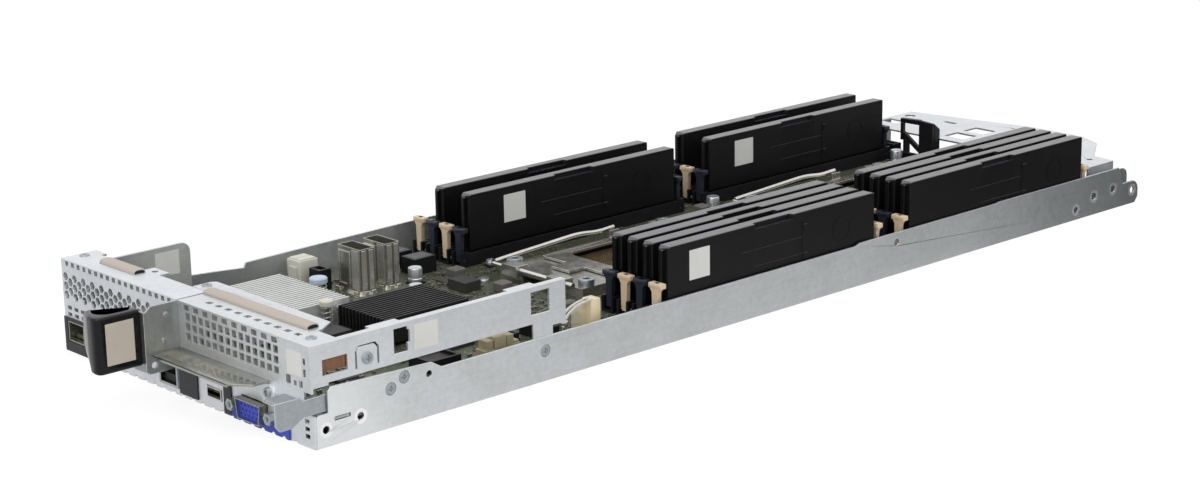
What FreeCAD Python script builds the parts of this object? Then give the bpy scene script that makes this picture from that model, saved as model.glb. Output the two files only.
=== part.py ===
import FreeCAD, Part
import math
import os

# Half-width server sled. Lengths in millimetres. While building, y = 0 is the
# front panel and +Y runs to the rear; place() moves everything so that the
# origin ends up under the middle of the whole object.

os.makedirs("parts", exist_ok=True)

# Outer size
width = 174.4
half = width / 2
sheet = 1.0
cage_top = 40.0
handle_front = 36.0

# Side walls
wall_in = half - sheet
wall_top_front = 23.0
wall_top = 18.4
wall_top_rear = 20.4
panel_top = 21.5
lever_slot_bottom = 13.1
lever_slot_end = 6.5

# Circuit board
standoff_height = 4.9
board_bottom = sheet + standoff_height
board_thick = 1.6
board_top = board_bottom + board_thick
board_side_gap = 1.7
board_half = wall_in - board_side_gap
board_front = 2.6

# Handle bracket: its plane, measured in from the right wall
bracket_in = 87.2
hub = half - bracket_in

# Memory slots
slot_pitch = 9.4
right_first_in = 5.2
left_first_in = 40.7
right_first = half - right_first_in
left_first = -half + left_first_in
blank_length = 133.35
slot_half = blank_length / 2
row_start = 182.925
row_gap = 21.45
row_middle = [row_start + slot_half, row_start + slot_half + blank_length + row_gap]
blade_thick = 1.4
blank_thick = 6.0
blank_top = 40.8
blade_top = 39.4
groove_width = 1.9
groove_bottom = 10.4
socket_thick = 7.0
socket_top = 13.8
tower_top = 14.6
latch_head_low = 23.2
latch_head_top = 25.7
latch_pivot_z = 10.7
latch_gap = 0.2
latch_deep = 3.4
latch_angle_room = 0.3

# Processor sockets, each a little forward of the middle of its memory row
cpu_x = 4.6
cpu_forward = 12.6
cpu_y = [y - cpu_forward for y in row_middle]
boss_dx = 23.8
boss_dy = 47.0
wire_r = 1.2
turn_gap = 0.05
lever_bar_z = 13.6
lever_bar_dy = 56.0
lever_arm_dx = 29.6
plate_hinge_dy = 39.0
plate_hinge_z = 13.9

# Rear end: board, tray and the deck that stands out behind the tray
board_behind_row = 14.925
tray_behind_board = 29.0
deck_length = 55.4
board_rear = row_middle[1] + slot_half + board_behind_row
tray_end = board_rear + tray_behind_board
deck_top = 20.4
deck_front = board_rear + 1.6
deck_rear = deck_front + deck_length
y_middle = (deck_rear - handle_front) / 2


def from_left(d):
    return -half + d


def from_right(d):
    return half - d


def vec(x, y, z):
    return FreeCAD.Vector(x, y, z)


def box(x0, x1, y0, y1, z0, z1):
    return Part.makeBox(x1 - x0, y1 - y0, z1 - z0, vec(x0, y0, z0))


def cyl_x(x0, x1, y, z, r):
    return Part.makeCylinder(r, x1 - x0, vec(x0, y, z), vec(1, 0, 0))


def cyl_y(x, y0, y1, z, r):
    return Part.makeCylinder(r, y1 - y0, vec(x, y0, z), vec(0, 1, 0))


def cyl_z(x, y, z0, z1, r):
    return Part.makeCylinder(r, z1 - z0, vec(x, y, z0), vec(0, 0, 1))


def prism(points, direction):
    wire = Part.makePolygon(points + [points[0]])
    return Part.Face(wire).extrude(direction)


def prism_yz(points, x0, x1):
    return prism([vec(x0, y, z) for y, z in points], vec(x1 - x0, 0, 0))


def prism_xz(points, y0, y1):
    return prism([vec(x, y0, z) for x, z in points], vec(0, y1 - y0, 0))


def prism_xy(points, z0, z1):
    return prism([vec(x, y, z0) for x, y in points], vec(0, 0, z1 - z0))


def arc(cx, cy, r, a0, a1, steps):
    turns = [math.radians(a0 + (a1 - a0) * i / steps) for i in range(steps + 1)]
    return [(cx + r * math.cos(t), cy + r * math.sin(t)) for t in turns]


def join(shapes):
    first = shapes[0]
    if len(shapes) == 1:
        return first
    return first.fuse(shapes[1:]).removeSplitter()


def drill(shape, tools):
    return shape.cut(Part.makeCompound(tools))


def place(shape):
    moved = shape.copy()
    moved.translate(vec(0, -y_middle, 0))
    return moved


def save(name, solids):
    if not isinstance(solids, list):
        solids = [solids]
    out = place(solids[0]) if len(solids) == 1 else Part.makeCompound([place(s) for s in solids])
    out.exportStep("parts/" + name + ".step")


def shifted(shape, dx, dy, dz):
    moved = shape.copy()
    moved.translate(vec(dx, dy, dz))
    return moved


def mirrored_x(shape):
    return shape.mirror(vec(0, 0, 0), vec(1, 0, 0))


# Screws: head and shank, all along one axis
def screw_x(y, z, head_x0, head_x1, r, tip_x, shank_r):
    head = cyl_x(head_x0, head_x1, y, z, r)
    shank = cyl_x(min(tip_x, head_x0), max(tip_x, head_x0), y, z, shank_r)
    slot = box(head_x1 - 0.35, head_x1, y - 0.3, y + 0.3, z - 1.4, z + 1.4)
    cross = box(head_x1 - 0.35, head_x1, y - 1.4, y + 1.4, z - 0.3, z + 0.3)
    return join([head, shank]).cut(Part.makeCompound([slot, cross]))


def screw_z(x, y, head_z0, head_z1, r, tip_z, shank_r):
    head = cyl_z(x, y, head_z0, head_z1, r)
    shank = cyl_z(x, y, tip_z, head_z0, shank_r)
    slot = box(x - 0.3, x + 0.3, y - 1.3, y + 1.3, head_z1 - 0.35, head_z1)
    cross = box(x - 1.3, x + 1.3, y - 0.3, y + 0.3, head_z1 - 0.35, head_z1)
    return join([head, shank]).cut(Part.makeCompound([slot, cross]))


# Base tray: floor and two walls
floor_front = 1.0
low_tab_top = 11.6
rear_tab = [(tray_end - 17, wall_top_rear), (tray_end - 13, low_tab_top), (tray_end - 5, low_tab_top)]
rear_tab += arc(tray_end - 5, 6.6, 5.0, 80, 0, 5)
rear_tab += [(tray_end, 3.0), (tray_end - 2.5, 0)]
step_one = row_middle[0] + 50.4
step_two = row_middle[1] - 4.4
right_profile = [
    (floor_front, 0), (floor_front, lever_slot_bottom - 1), (floor_front + 1, lever_slot_bottom),
    (lever_slot_end, lever_slot_bottom), (lever_slot_end, wall_top_front - 1.5),
    (lever_slot_end + 1.5, wall_top_front), (56, wall_top_front - 1.6), (61, wall_top),
    (step_one, wall_top + 0.4), (step_one + 3, wall_top + 1.4), (step_two, wall_top + 1.6),
    (step_two + 3, wall_top_rear),
] + rear_tab
left_profile = [
    (floor_front, 0), (floor_front, wall_top_front), (14.4, wall_top_front), (14.4, 20.2), (63, 19.7),
    (74, 18.9), (90, 17.5), (91, 19.7), (128, 20.3), (row_start, wall_top_rear + 0.5),
] + rear_tab
wall_holes = [
    (5.2, 6.8, 1.5), (21.3, 8.3, 1.5), (54.6, 17.0, 1.4), (row_middle[0] + 78.5, 15.2, 1.6),
    (tray_end - 51.7, 5.1, 1.5), (tray_end - 37.2, 9.3, 1.8), (tray_end - 21.4, 10.3, 1.8),
    (tray_end - 5.0, 6.9, 1.6),
]
side_screws = [(36.0, 15.4), (42.6, 18.6), (114.0, 12.5)]
screw_head_r = 2.5
screw_shank_r = 1.4
screw_hole_r = 1.5
tooth_slot = (9.3, 16.7, 9.4, 11.0)


def side_wall(profile, x0, x1, with_screws):
    wall = prism_yz(profile, x0, x1)
    tools = [cyl_x(x0 - 1, x1 + 1, y, z, r) for y, z, r in wall_holes]
    tools.append(box(x0 - 1, x1 + 1, *tooth_slot))
    if with_screws:
        for y, z in side_screws:
            tools.append(cyl_x(x0 - 1, x1 + 1, y, z, screw_hole_r))
            tools.append(cyl_x(half - 0.7, x1 + 1, y, z, screw_head_r + 0.05))
    return drill(wall, tools)


floor = box(-half, half, floor_front, tray_end - 15, 0, sheet)
floor_tail = box(-half + 4, half - 4, tray_end - 15, tray_end - 2.5, 0, sheet)
right_wall = side_wall(right_profile, wall_in, half, True)
left_wall = side_wall(left_profile, -half, -wall_in, False)
save("base_tray", join([floor, floor_tail, right_wall, left_wall]))

# Front panel with the port openings
usb = (hub + 17.0, hub + 27.2, 4.4, 9.4)
network = (hub - 16.2, hub - 2.8, 2.6, 14.4)
plug_port = (from_left(2.6), from_left(15.2), 4.6, 13.8)
video_x = hub + 49.0
video_z = 6.6
video_open = (17.4, 8.9)
jack_dx = 12.4
lever_notch_x = from_right(5.6)
scallop_step = 6.8
io_plate = join([
    box(-half, half, 0, sheet, 0, panel_top),
    box(-half + sheet, lever_notch_x - 1.6, sheet, 10, panel_top - sheet, panel_top),
])
scallop_count = int((width - 12) / scallop_step) + 1
scallops = [cyl_y(from_left(5.2) + i * scallop_step, -1, sheet + 0.1, -0.4, 1.5) for i in range(scallop_count)]
port_holes = [
    box(usb[0], usb[1], -1, 2, usb[2], usb[3]),
    box(network[0], network[1], -1, 2, network[2], network[3]),
    box(plug_port[0], plug_port[1], -1, 2, plug_port[2], plug_port[3]),
    box(video_x - video_open[0] / 2, video_x + video_open[0] / 2, -1, 2,
        video_z - video_open[1] / 2, video_z + video_open[1] / 2),
    cyl_y(video_x - jack_dx, -1, 2, video_z, 1.6),
    cyl_y(video_x + jack_dx, -1, 2, video_z, 1.6),
    box(lever_notch_x, half + 1, -1, 2, lever_slot_bottom - 0.2, panel_top + 1),
]
for i in range(3):
    for j in range(2):
        x = from_left(2.6) + i * 5.2
        port_holes.append(box(x, x + 3.2, -1, 2, 15.6 + j * 2.9, 17.2 + j * 2.9))
for z in (3.6, 6.4, 9.4):
    port_holes.append(box(from_right(6.0), from_right(3.2), -1, 2, z, z + 1.7))
for x in (hub + 66.0, hub + 75.6):
    port_holes.append(cyl_y(x, -1, 2, 12.6, 1.2))
tab_x = hub + 59.6
tab_r = 4.0
tab_outline = [(tab_x - tab_r, 11.4), (tab_x + tab_r, 11.4)] + arc(tab_x, 15.8, tab_r, 0, 180, 12)
tab = prism_xz(tab_outline, -sheet, 0)
io_plate = join([drill(io_plate, scallops + port_holes), tab])
io_plate = drill(io_plate, [cyl_y(tab_x, -2, 2, 12.9, 0.9)])
save("front_io_plate", io_plate)

# Vent cage on the left: front face with a hexagon field, top and end
hex_pitch = 4.0
hex_flat = 3.3
gap_middle = 1.0


def hexagon(cx, cz, flat):
    r = flat / math.sqrt(3)
    return [(cx + r * math.cos(math.radians(60 * k)), cz + r * math.sin(math.radians(60 * k))) for k in range(6)]


cage_end = hub - gap_middle
left_cage = join([
    box(-half, cage_end, 0, sheet, panel_top, cage_top),
    box(-half, cage_end, sheet, 14.4, cage_top - sheet, cage_top),
    box(-half, -half + sheet, sheet, 14.4, wall_top_front, cage_top),
    box(cage_end - sheet, cage_end, sheet, 12, panel_top, cage_top - sheet),
    box(from_left(40.8), from_left(52.2), 14.4, 19.2, cage_top - sheet, cage_top),
    box(-half, from_left(8.2), 14.4, 17.0, cage_top - sheet, cage_top),
])
hex_step = hex_pitch * math.sqrt(3) / 2
hex_count = int((cage_end - from_left(2.8) - 3.0) / hex_step) + 1
hex_tools = []
for i in range(hex_count):
    x = from_left(2.8) + i * hex_step
    rows = (32.6, 28.6, 24.6) if i % 2 == 0 else (30.6, 26.6)
    for z in rows:
        hex_tools.append(prism_xz(hexagon(x, z, hex_flat), -1, 2))
notch_step = 4.5
bend_notch = []
for i in range(int((cage_end - from_left(3.2) - 4.0) / notch_step) + 1):
    x = from_left(3.2) + i * notch_step
    bend_notch.append(box(x, x + 2.3, -1, 1.8, cage_top - 2.6, cage_top - 0.6))
left_cage = drill(left_cage, hex_tools + bend_notch + [cyl_z(from_left(46.2), 16.2, 38, 41, 1.4)])
save("left_vent_cage", left_cage)

# Tall plate along the left wall
plate_outline = [(14.4, sheet), (62.0, sheet), (62.0, 31.0)] + arc(57.5, 31.0, 4.5, 0, 90, 6) + [(14.4, 35.5)]
left_plate = prism_yz(plate_outline, -wall_in, -wall_in + sheet)
left_plate = drill(left_plate, [cyl_x(-half, from_left(7.2), 54.6, 17.0, 1.4)])
save("left_side_plate", left_plate)

# Riser cage on the right: front grille, top and a long side plate
side_out = wall_in
side_in = side_out - sheet
side_rear = 126.0
top_outline = [
    (hub, 0), (side_out, 0), (side_out, 14.0), (hub + 72.0, 14.4), (hub + 71.4, 17.0), (hub + 66.4, 24.6),
    (hub - 10.4, 25.6), (hub - 12.0, 23.6), (hub - 12.0, 14.8), (hub, 14.8),
]
side_outline = [
    (sheet, wall_top_front + 0.4), (8, wall_top_front + 0.4), (8, 24.4), (108.6, 24.6), (108.6, sheet),
    (119.0, sheet), (119.0, 22.0), (side_rear, 22.0), (side_rear, cage_top), (sheet, cage_top),
]
riser_cage = join([
    box(hub, side_out, 0, sheet, panel_top, cage_top),
    prism_xy(top_outline, cage_top - sheet, cage_top),
    prism_yz(side_outline, side_in, side_out),
    box(from_right(4.0), side_in, 14.0, side_rear, cage_top - sheet, cage_top),
    box(from_right(6.8), side_in, 30.0, 44.0, cage_top - sheet, cage_top),
    box(from_right(6.8), side_in, 98.0, 112.0, cage_top - sheet, cage_top),
    box(hub, hub + sheet, sheet, 12, panel_top, cage_top - sheet),
])
grille = []
for i in range(14):
    for j in range(3):
        x = hub + 4.6 + i * 4.5
        z = 24.6 + j * 4.1
        grille.append(box(x, x + 3.0, -1, 2, z, z + 3.0))
for i in range(10):
    x = hub + i * 6.5
    grille.append(box(x + 3.6, x + 7.2, -1, 2.0, cage_top - 3.2, cage_top - 1.0))
    grille.append(box(x + 10.6 - i * 0.05, x + 13.8 - i * 0.05, 5.4, 7.8, cage_top - 2, cage_top + 1))
grille += [
    box(from_right(16.6), from_right(13.8), -1, 2, 22.6, 26.2),
    box(from_right(11.8), from_right(10.2), -1, 2, 22.8, 24.8),
    box(from_right(8.6), from_right(6.4), -1, 2, 22.6, 25.4),
    box(from_right(5.6), from_right(4.2), -1, 2, 27.4, 30.4),
    box(from_right(5.6), from_right(4.2), -1, 2, 32.2, 34.6), cyl_z(hub - 3.6, 18.4, 38, 41, 1.4),
]
window_tools = [
    box(side_in - 1, side_out + 1, 5.4, 17.0, 27.4, 33.6),
    box(side_in - 1, side_out + 1, 39.0, 45.6, 28.0, 38.0),
    box(side_in - 1, side_out + 1, 45.6, 46.6, 31.4, 36.6),
    box(side_in - 1, side_out + 1, 107.6, 117.4, 28.2, 37.8),
    cyl_x(side_in - 1, side_out + 1, 114.0, 12.5, screw_hole_r),
]
slot_path = [(20.6, 24.0), (20.6, 33.4), (22.2, 35.4), (30.2, 35.4), (31.8, 33.4), (31.8, 24.0)]
slot_inner = [(21.4, 24.0), (21.4, 33.1), (22.6, 34.6), (29.8, 34.6), (31.0, 33.1), (31.0, 24.0)]
tab_slot = prism_yz(slot_path, side_in - 1, side_out + 1).cut(prism_yz(slot_inner, side_in - 2, side_out + 2))
tab_slot = tab_slot.cut(box(side_in - 3, side_out + 3, 19, 33, 20, 26.4))
cage_screw = (26.2, 29.8)
window_tools += [tab_slot, cyl_x(side_in - 1, side_out + 1, cage_screw[0], cage_screw[1], screw_hole_r)]
top_screws = [(from_left(4.0), 9.0), (from_right(9.4), 7.1), (hub - 8.6, 19.4)]
riser_cage = drill(riser_cage, grille + window_tools)
save("right_riser_cage", riser_cage)

# Copper contact finger behind the front window of the side plate
finger_path = [(2.0, 0.0), (6.0, 0.0), (9.0, 1.0), (16.0, 1.0), (19.0, 0.0), (20.0, 0.0)]
finger_back = [(y, d + 0.3) for y, d in reversed(finger_path)]
finger = prism_xy([(side_in - d, y) for y, d in finger_path] + [(side_in - d, y) for y, d in finger_back], 28.2, 32.8)
save("copper_ground_finger", finger)

# Handle bracket: upright plate between the cages with a front flange
bracket_low = 12.6
bracket_outline = [
    (-15.0, bracket_low), (0, bracket_low), (0, panel_top), (11.5, panel_top), (11.5, cage_top - sheet - 0.3),
    (0, cage_top - sheet - 0.3), (0, cage_top), (-12.6, cage_top), (-15.0, 38.0),
]
bracket = join([
    prism_yz(bracket_outline, hub - gap_middle, hub),
    box(hub - 9.0, hub, -16.0, -15.0, 13.4, 38.0),
])
bracket_screws = [(-6.0, 35.4), (-7.4, 25.2)]
bracket_screw_r = 1.1
bracket_tools = [cyl_x(hub - 2, hub + 1, y, z, bracket_screw_r) for y, z in bracket_screws]
bracket = drill(bracket, bracket_tools + [cyl_x(hub - 2, hub + 1, -12.2, 16.0, 1.3)])
save("handle_bracket", bracket)

# Shelf over the connectors
shelf = join([
    box(hub, hub + 60.0, -15.0, 0, 20.0, 20.9),
    box(hub + 0.8, hub + 60.0, -15.0, -14.1, 18.2, 20.0),
])
shelf = drill(shelf, [box(hub + 6 + i * 11, hub + 12 + i * 11, -9.4, -6.8, 19, 22) for i in range(3)])
save("connector_shelf", shelf)

# Pull handle: flat arm with a hooked finger lip
grip_low = 16.3
grip_top = 39.2
grip_plan = [(-2.0, -16.0), (-2.0, -34.4), (-3.2, -35.7), (-5.4, -handle_front), (-9.6, -35.3), (-18.0, -31.9)]
grip_plan += [(-18.9, -30.8), (-18.4, -29.6), (-17.2, -29.4)]
grip_plan += [(-11.6, -31.4), (-8.4, -31.2), (-6.4, -29.4), (-5.6, -26.6), (-5.4, -19.4), (-8.6, -18.4), (-8.6, -16.0)]
grip = prism_xy(grip_plan, grip_low, grip_top)
corner = [(-20, grip_low - 1), (-8.0, grip_low - 1)] + arc(-10.0, grip_low + 9, 9.0, 270, 180, 8) + [(-20, grip_low + 9)]
grip = grip.cut(prism_xz(corner, -40, -24))
upper = [(-20, grip_top + 1), (-15.5, grip_top + 1), (-15.9, grip_top), (-18.4, grip_top - 1.4), (-20, grip_top - 4)]
grip = grip.cut(prism_xz(upper, -40, -24))
save("pull_handle", shifted(grip, hub, 0, 0))
save("handle_label", box(hub - 2.0, hub - 1.7, -32.0, -19.4, 19.6, 36.4))

# Release lever along the right wall, held by an anchor plate
lever_thick = 0.8
lever_out = wall_in - 0.2
lever_in = lever_out - lever_thick
pivot_y = 33.0
pivot_x = wall_in - 1.25
knuckle_r = 1.05
pin_r = 0.5
lever = join([
    box(lever_in, lever_out, -5.0, pivot_y - 0.6, 13.5, 20.1),
    prism_yz([(-16.5, 13.0), (-14.6, 10.6), (-9.0, 10.6), (-4.0, 13.5), (-4.0, 20.1), (-5.0, 21.6), (-16.5, 21.6)],
             lever_in, lever_out),
    box(from_right(9.6), lever_out, -15.4, -6.0, 20.8, 21.6),
    box(lever_in, lever_out, 9.7, 16.3, 9.7, 13.5),
    box(lever_out, half - 0.3, 9.7, 16.3, 9.7, 10.7),
    cyl_z(pivot_x, pivot_y, 13.5, 20.1, knuckle_r),
])
lever = lever.cut(cyl_z(pivot_x, pivot_y, 13.0, 21.0, pin_r + turn_gap))
save("release_lever", lever)
anchor = join([
    box(wall_in - 0.8, wall_in, 35.4, 50.0, 12.6, 21.2),
    box(wall_in - 2.4, wall_in, pivot_y - 1.0, 36.4, 20.4, 21.2),
    box(wall_in - 2.4, wall_in, pivot_y - 1.0, 36.4, 12.4, 13.2),
    cyl_z(pivot_x, pivot_y, 13.2, 20.4, pin_r),
])
anchor_holes = [cyl_x(wall_in - 2, wall_in + 1, y, z, screw_hole_r) for y, z in side_screws[:2]]
anchor = drill(anchor, anchor_holes)
save("lever_anchor_plate", anchor)

# Conductive gaskets on the cage tops
gasket_r = 3.3


def gasket(x0, x1, y):
    low = cage_top
    outline = [(y - gasket_r, low), (y + gasket_r, low), (y + gasket_r - 0.4, low + 0.9), (y + 1.6, low + 1.6)]
    outline += [(y - 1.6, low + 1.6), (y - gasket_r + 0.4, low + 0.9)]
    return prism_yz(outline, x0, x1)


save("conductive_gaskets", [gasket(from_left(18.2), from_left(43.7), 10.3), gasket(hub - 0.5, hub + 68.0, 15.0)])

# Circuit board, standoffs and screws
board_points = [
    (from_left(13.2), 56), (-30, 32), (40, 32), (from_right(15.2), 60), (from_left(13.2), 140), (-20, 172),
    (from_right(23.2), 162), (-30, cpu_y[0] + 89), (40, cpu_y[0] + 89), (from_left(11.2), cpu_y[0] + 90),
    (-12, board_rear - 7), (40, board_rear - 7),
]
board = box(-board_half, board_half, board_front, board_rear, board_bottom, board_top)
board = drill(board, [cyl_z(x, y, 0, 12, 1.6) for x, y in board_points])
save("motherboard", board)
standoffs = []
board_screws = []
for x, y in board_points:
    post = cyl_z(x, y, sheet, board_bottom, 3.0)
    standoffs.append(post.cut(cyl_z(x, y, board_bottom - 3.2, board_bottom, 1.6)))
    board_screws.append(screw_z(x, y, board_top, board_top + 1.6, 2.6, board_bottom - 3.0, 1.5))
save("board_standoffs", standoffs)
metal_screws = [screw_x(y, z, half - 0.7, half, screw_head_r, wall_in - 2.2, screw_shank_r) for y, z in side_screws]
metal_screws.append(screw_x(cage_screw[0], cage_screw[1], side_out, side_out + 0.9, 2.4, side_in - 1.0, screw_shank_r))
for y, z in bracket_screws:
    metal_screws.append(cyl_x(hub, hub + 0.7, y, z, 1.9).fuse(cyl_x(hub - gap_middle, hub, y, z, bracket_screw_r)))
metal_screws.append(cyl_y(tab_x, -2.0, -1.0, 16.4, 2.0))
for x, y in top_screws:
    metal_screws.append(cyl_z(x, y, cage_top, cage_top + 0.5, 2.2))
save("chassis_screws", metal_screws)
save("board_screws", board_screws)

# Heat sinks with fins along the length
def heat_sink(x0, x1, y0, y1, seat, base, top, fins, fin_thick):
    parts = [box(x0, x1, y0, y1, seat, seat + base)]
    step = (x1 - x0 - fin_thick) / (fins - 1)
    for i in range(fins):
        x = x0 + i * step
        parts.append(box(x, x + fin_thick, y0, y1, seat + base, top))
    return join(parts)


silver = (-59.6, -10.2, 44.0, 90.4)
dark = (-3.4, 27.6, 79.4, 124.0)
chip_height = 1.6
sink_seat = board_top + chip_height
sink_top = 20.0
save("silver_heatsink", heat_sink(*silver, sink_seat, 2.4, sink_top, 21, 0.9))
save("black_heatsink", heat_sink(*dark, sink_seat, 2.4, sink_top, 14, 0.9))

# Chips: two under the heat sinks and the loose ones on the board
chips = [
    box(-50.0, -20.0, 52.0, 82.0, board_top, sink_seat),
    box(2.0, 22.0, 91.0, 112.0, board_top, sink_seat),
    box(-23.0, -11.0, 154.0, 163.0, board_top, board_top + 4.6),
    box(4.0, 14.0, 62.0, 73.0, board_top, board_top + 7.2),
    box(from_right(53.2), from_right(39.2), 96.0, 110.0, board_top, board_top + 1.4),
    box(4.0, 12.0, 146.0, 154.0, board_top, board_top + 1.2),
    box(22.0, 34.0, 140.0, 150.0, board_top, board_top + 2.0),
    box(-40.0, -32.0, 164.0, 170.0, board_top, board_top + 1.4),
    box(30.0, 37.0, cpu_y[0] + 63, cpu_y[0] + 75, board_top, board_top + 3.4),
    box(-30.0, -18.0, cpu_y[0] + 71, cpu_y[0] + 79, board_top, board_top + 3.4),
    box(-8.0, 4.0, cpu_y[1] + 70, cpu_y[1] + 82, board_top, board_top + 1.6),
    box(14.0, 26.0, cpu_y[1] + 72, cpu_y[1] + 80, board_top, board_top + 3.0),
]
save("board_chips", chips)

# Capacitors and spring pins beside the heat sinks
cap_spots = [
    (-43.6, 99.0, 4.0, 20.0), (-6.8, 76.0, 3.0, 22.4), (-6.8, 84.0, 2.4, 18.4), (-39.6, 149.0, 3.2, 15.0),
    (-28.0, 140.0, 3.2, 15.0), (30.0, 132.0, 3.2, 15.0), (-36.0, cpu_y[0] - 47, 2.2, 11.0),
    (42.0, cpu_y[0] + 63, 3.2, 15.0), (-34.0, cpu_y[1] - 60, 3.2, 15.0), (-34.0, cpu_y[1] + 78, 3.2, 15.0),
    (44.0, cpu_y[1] + 70, 3.2, 15.0),
]
caps = []
for x, y, r, top in cap_spots:
    foot = box(x - r, x + r, y - r, y + r, board_top, board_top + 0.9)
    caps.append(join([foot, cyl_z(x, y, board_top + 0.9, top, r)]))
save("capacitors", caps)

# Connectors standing on the board
shell_wall = 0.6
shell_x = (-56.6, -40.6)
shell_spots = [(119.4, 127.8), (133.4, 141.6)]
shell_top = 28.3
cable_parts = []
for y0, y1 in shell_spots:
    outer = box(shell_x[0], shell_x[1], y0, y1, board_top, shell_top)
    inner = box(shell_x[0] + shell_wall, shell_x[1] - shell_wall, y0 + shell_wall, y1 - shell_wall, board_top - 1, 40)
    skirt = box(shell_x[0] - 0.9, shell_x[1] + 0.9, y0 - 0.9, y1 + 0.9, board_top, board_top + 2.2)
    window = box(shell_x[0] + 3.4, shell_x[0] + 9.6, y0 - 2, y0 + shell_wall + 0.1, board_top + 5.6, board_top + 7.4)
    notch = box(shell_x[1] - 7.4, shell_x[1] - 3.6, y0 - 2, y0 + shell_wall + 0.1, shell_top - 2.0, shell_top + 1)
    cable_parts.append(drill(join([outer, skirt]), [inner, window, notch]))
    core = join([
        box(shell_x[0] + shell_wall, shell_x[1] - shell_wall, y0 + shell_wall, y1 - shell_wall,
            board_top, board_top + 3.0),
        box(shell_x[0] + 2.4, shell_x[1] - 2.4, y0 + 3.2, y1 - 3.2, board_top + 3.0, shell_top - 4.0),
    ])
    cable_parts.append(core)
save("cable_connectors", cable_parts)
power_x = from_left(7.0)
power = box(power_x, power_x + 10.0, 108.6, 118.6, board_top, 20.0)
power_holes = [box(power_x + 0.8 + i * 4.4, power_x + 4.8 + i * 4.4, 109.4 + j * 4.4, 113.4 + j * 4.4, 12.0, 21.0)
               for i in range(2) for j in range(2)]
save("power_connector", drill(power, power_holes))
block_spots = [
    (from_left(20.2), from_left(27.8), 111.0, 117.6, 17.0), (from_left(14.2), from_left(23.6), 154.0, 166.6, 15.0),
    (from_left(28.6), from_left(38.6), 156.0, 168.6, 15.0), (from_right(53.2), from_right(25.2), 116.0, 122.0, 13.0),
    (from_right(37.2), from_right(17.2), 132.0, 138.0, 14.5), (from_right(35.2), from_right(21.2), 72.0, 88.0, 12.6),
    (from_left(25.2), from_left(44.2), board_rear - 7.6, board_rear - 1.6, 15.0),
]
blocks = []
for x0, x1, y0, y1, top in block_spots:
    block = box(x0, x1, y0, y1, board_top, top)
    well = box(x0 + 1.2, x1 - 1.2, y0 + 1.6, y1 - 1.6, top - 1.2, top + 1)
    blocks.append(block.cut(well))
save("board_connectors", blocks)
riser_slot = box(from_right(13.2), from_right(6.6), 88.0, 107.0, board_top, 20.0)
save("riser_connector", riser_slot.cut(box(from_right(11.2), from_right(8.6), 89.2, 105.8, 11.0, 21.0)))

# Ports in the front panel
port_face = 0.4


def shell(x0, x1, y0, y1, z0, z1, wall):
    outer = box(x0, x1, y0, y1, z0, z1)
    inner = box(x0 + wall, x1 - wall, y0 - 1, y1 - wall, z0 + wall, z1 - wall)
    return outer.cut(inner)


plug_cage = shell(plug_port[0] + 0.3, plug_port[1] - 0.3, -port_face, 46.0, plug_port[2] + 0.3, plug_port[3] - 0.3, 0.5)
plug_foot = box(plug_port[0] + 0.6, plug_port[1] - 0.6, 6.0, 44.0, board_top, board_top + 0.2)
plug_cage = plug_cage.cut(box(-half - 1, from_left(27.2), board_front - 0.5, 60, 0, board_top))
save("pluggable_port_cage", join([plug_cage, plug_foot]))
network_jack = shell(network[0] + 0.3, network[1] - 0.3, -port_face, 18.0, network[2] + 0.3, network[3] - 0.3, 0.9)
network_sill = box(network[0] + 0.3, network[1] - 0.3, 0.8, board_front - 0.5, network[2] + 0.3, board_top)
network_jack = network_jack.cut(box(network[0] - 9, network[1] + 9, board_front - 0.5, 30, 0, board_top))
network_body = box(network[0] + 0.3, network[1] - 0.3, 12.0, 18.0, board_top, network[3] - 0.3)
save("network_jack", join([network_jack, network_body, network_sill]))
usb_shell = shell(usb[0] + 0.3, usb[1] - 0.3, -port_face, 14.0, usb[2] + 0.3, usb[3] - 0.3, 0.4)
usb_shell = usb_shell.cut(box(usb[0] - 9, usb[1] + 9, board_front - 0.5, 30, 0, board_top))
usb_tongue = box(usb[0] + 1.6, usb[1] - 1.6, 1.6, 13.8, 7.5, 8.4)
save("usb_port", join([usb_shell, usb_tongue]))


def d_outline(cx, cz, w, h):
    lean = h * 0.17
    top = w / 2
    low = w / 2 - lean
    return [(cx - low, cz - h / 2), (cx + low, cz - h / 2), (cx + top, cz + h / 2), (cx - top, cz + h / 2)]


video_flange = box(video_x - 15.4, video_x + 15.4, sheet, 1.6, video_z - 5.4, video_z + 5.4)
video_rim = prism_xz(d_outline(video_x, video_z, 16.6, 8.2), -3.6, 1.6)
video_bore = prism_xz(d_outline(video_x, video_z, 15.6, 7.2), -4.6, 2.6)
video_shell = join([video_flange, video_rim]).cut(video_bore)
video_shell = drill(video_shell, [cyl_y(video_x - jack_dx, 0, 3, video_z, 1.6), cyl_y(video_x + jack_dx, 0, 3, video_z, 1.6)])
save("video_shell", video_shell)
video_core = join([
    prism_xz(d_outline(video_x, video_z, 15.6, 7.2), -2.6, 1.6),
    box(video_x - 8.4, video_x + 8.4, 1.6, 2.5, video_z - 4.2, video_z + 5.0),
    box(video_x - 8.4, video_x + 8.4, 2.5, 12.0, board_top, video_z + 5.0),
])
pins = []
for j in range(3):
    for i in range(5):
        pins.append(cyl_y(video_x - 5.2 + i * 2.4 + (j % 2) * 0.8, -3.0, -0.6, video_z - 2.0 + j * 2.0, 0.5))
save("video_insert", drill(video_core, pins))
jacks = []
for side in (-1, 1):
    x = video_x + side * jack_dx
    nut = prism_xz(hexagon(x, video_z, 4.4), -3.4, 0)
    nut = join([nut, cyl_y(x, 0, board_front - 0.2, video_z, 1.5)])
    jacks.append(nut.cut(cyl_y(x, -4, -1.0, video_z, 1.1)))
save("video_jackscrews", jacks)

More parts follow.
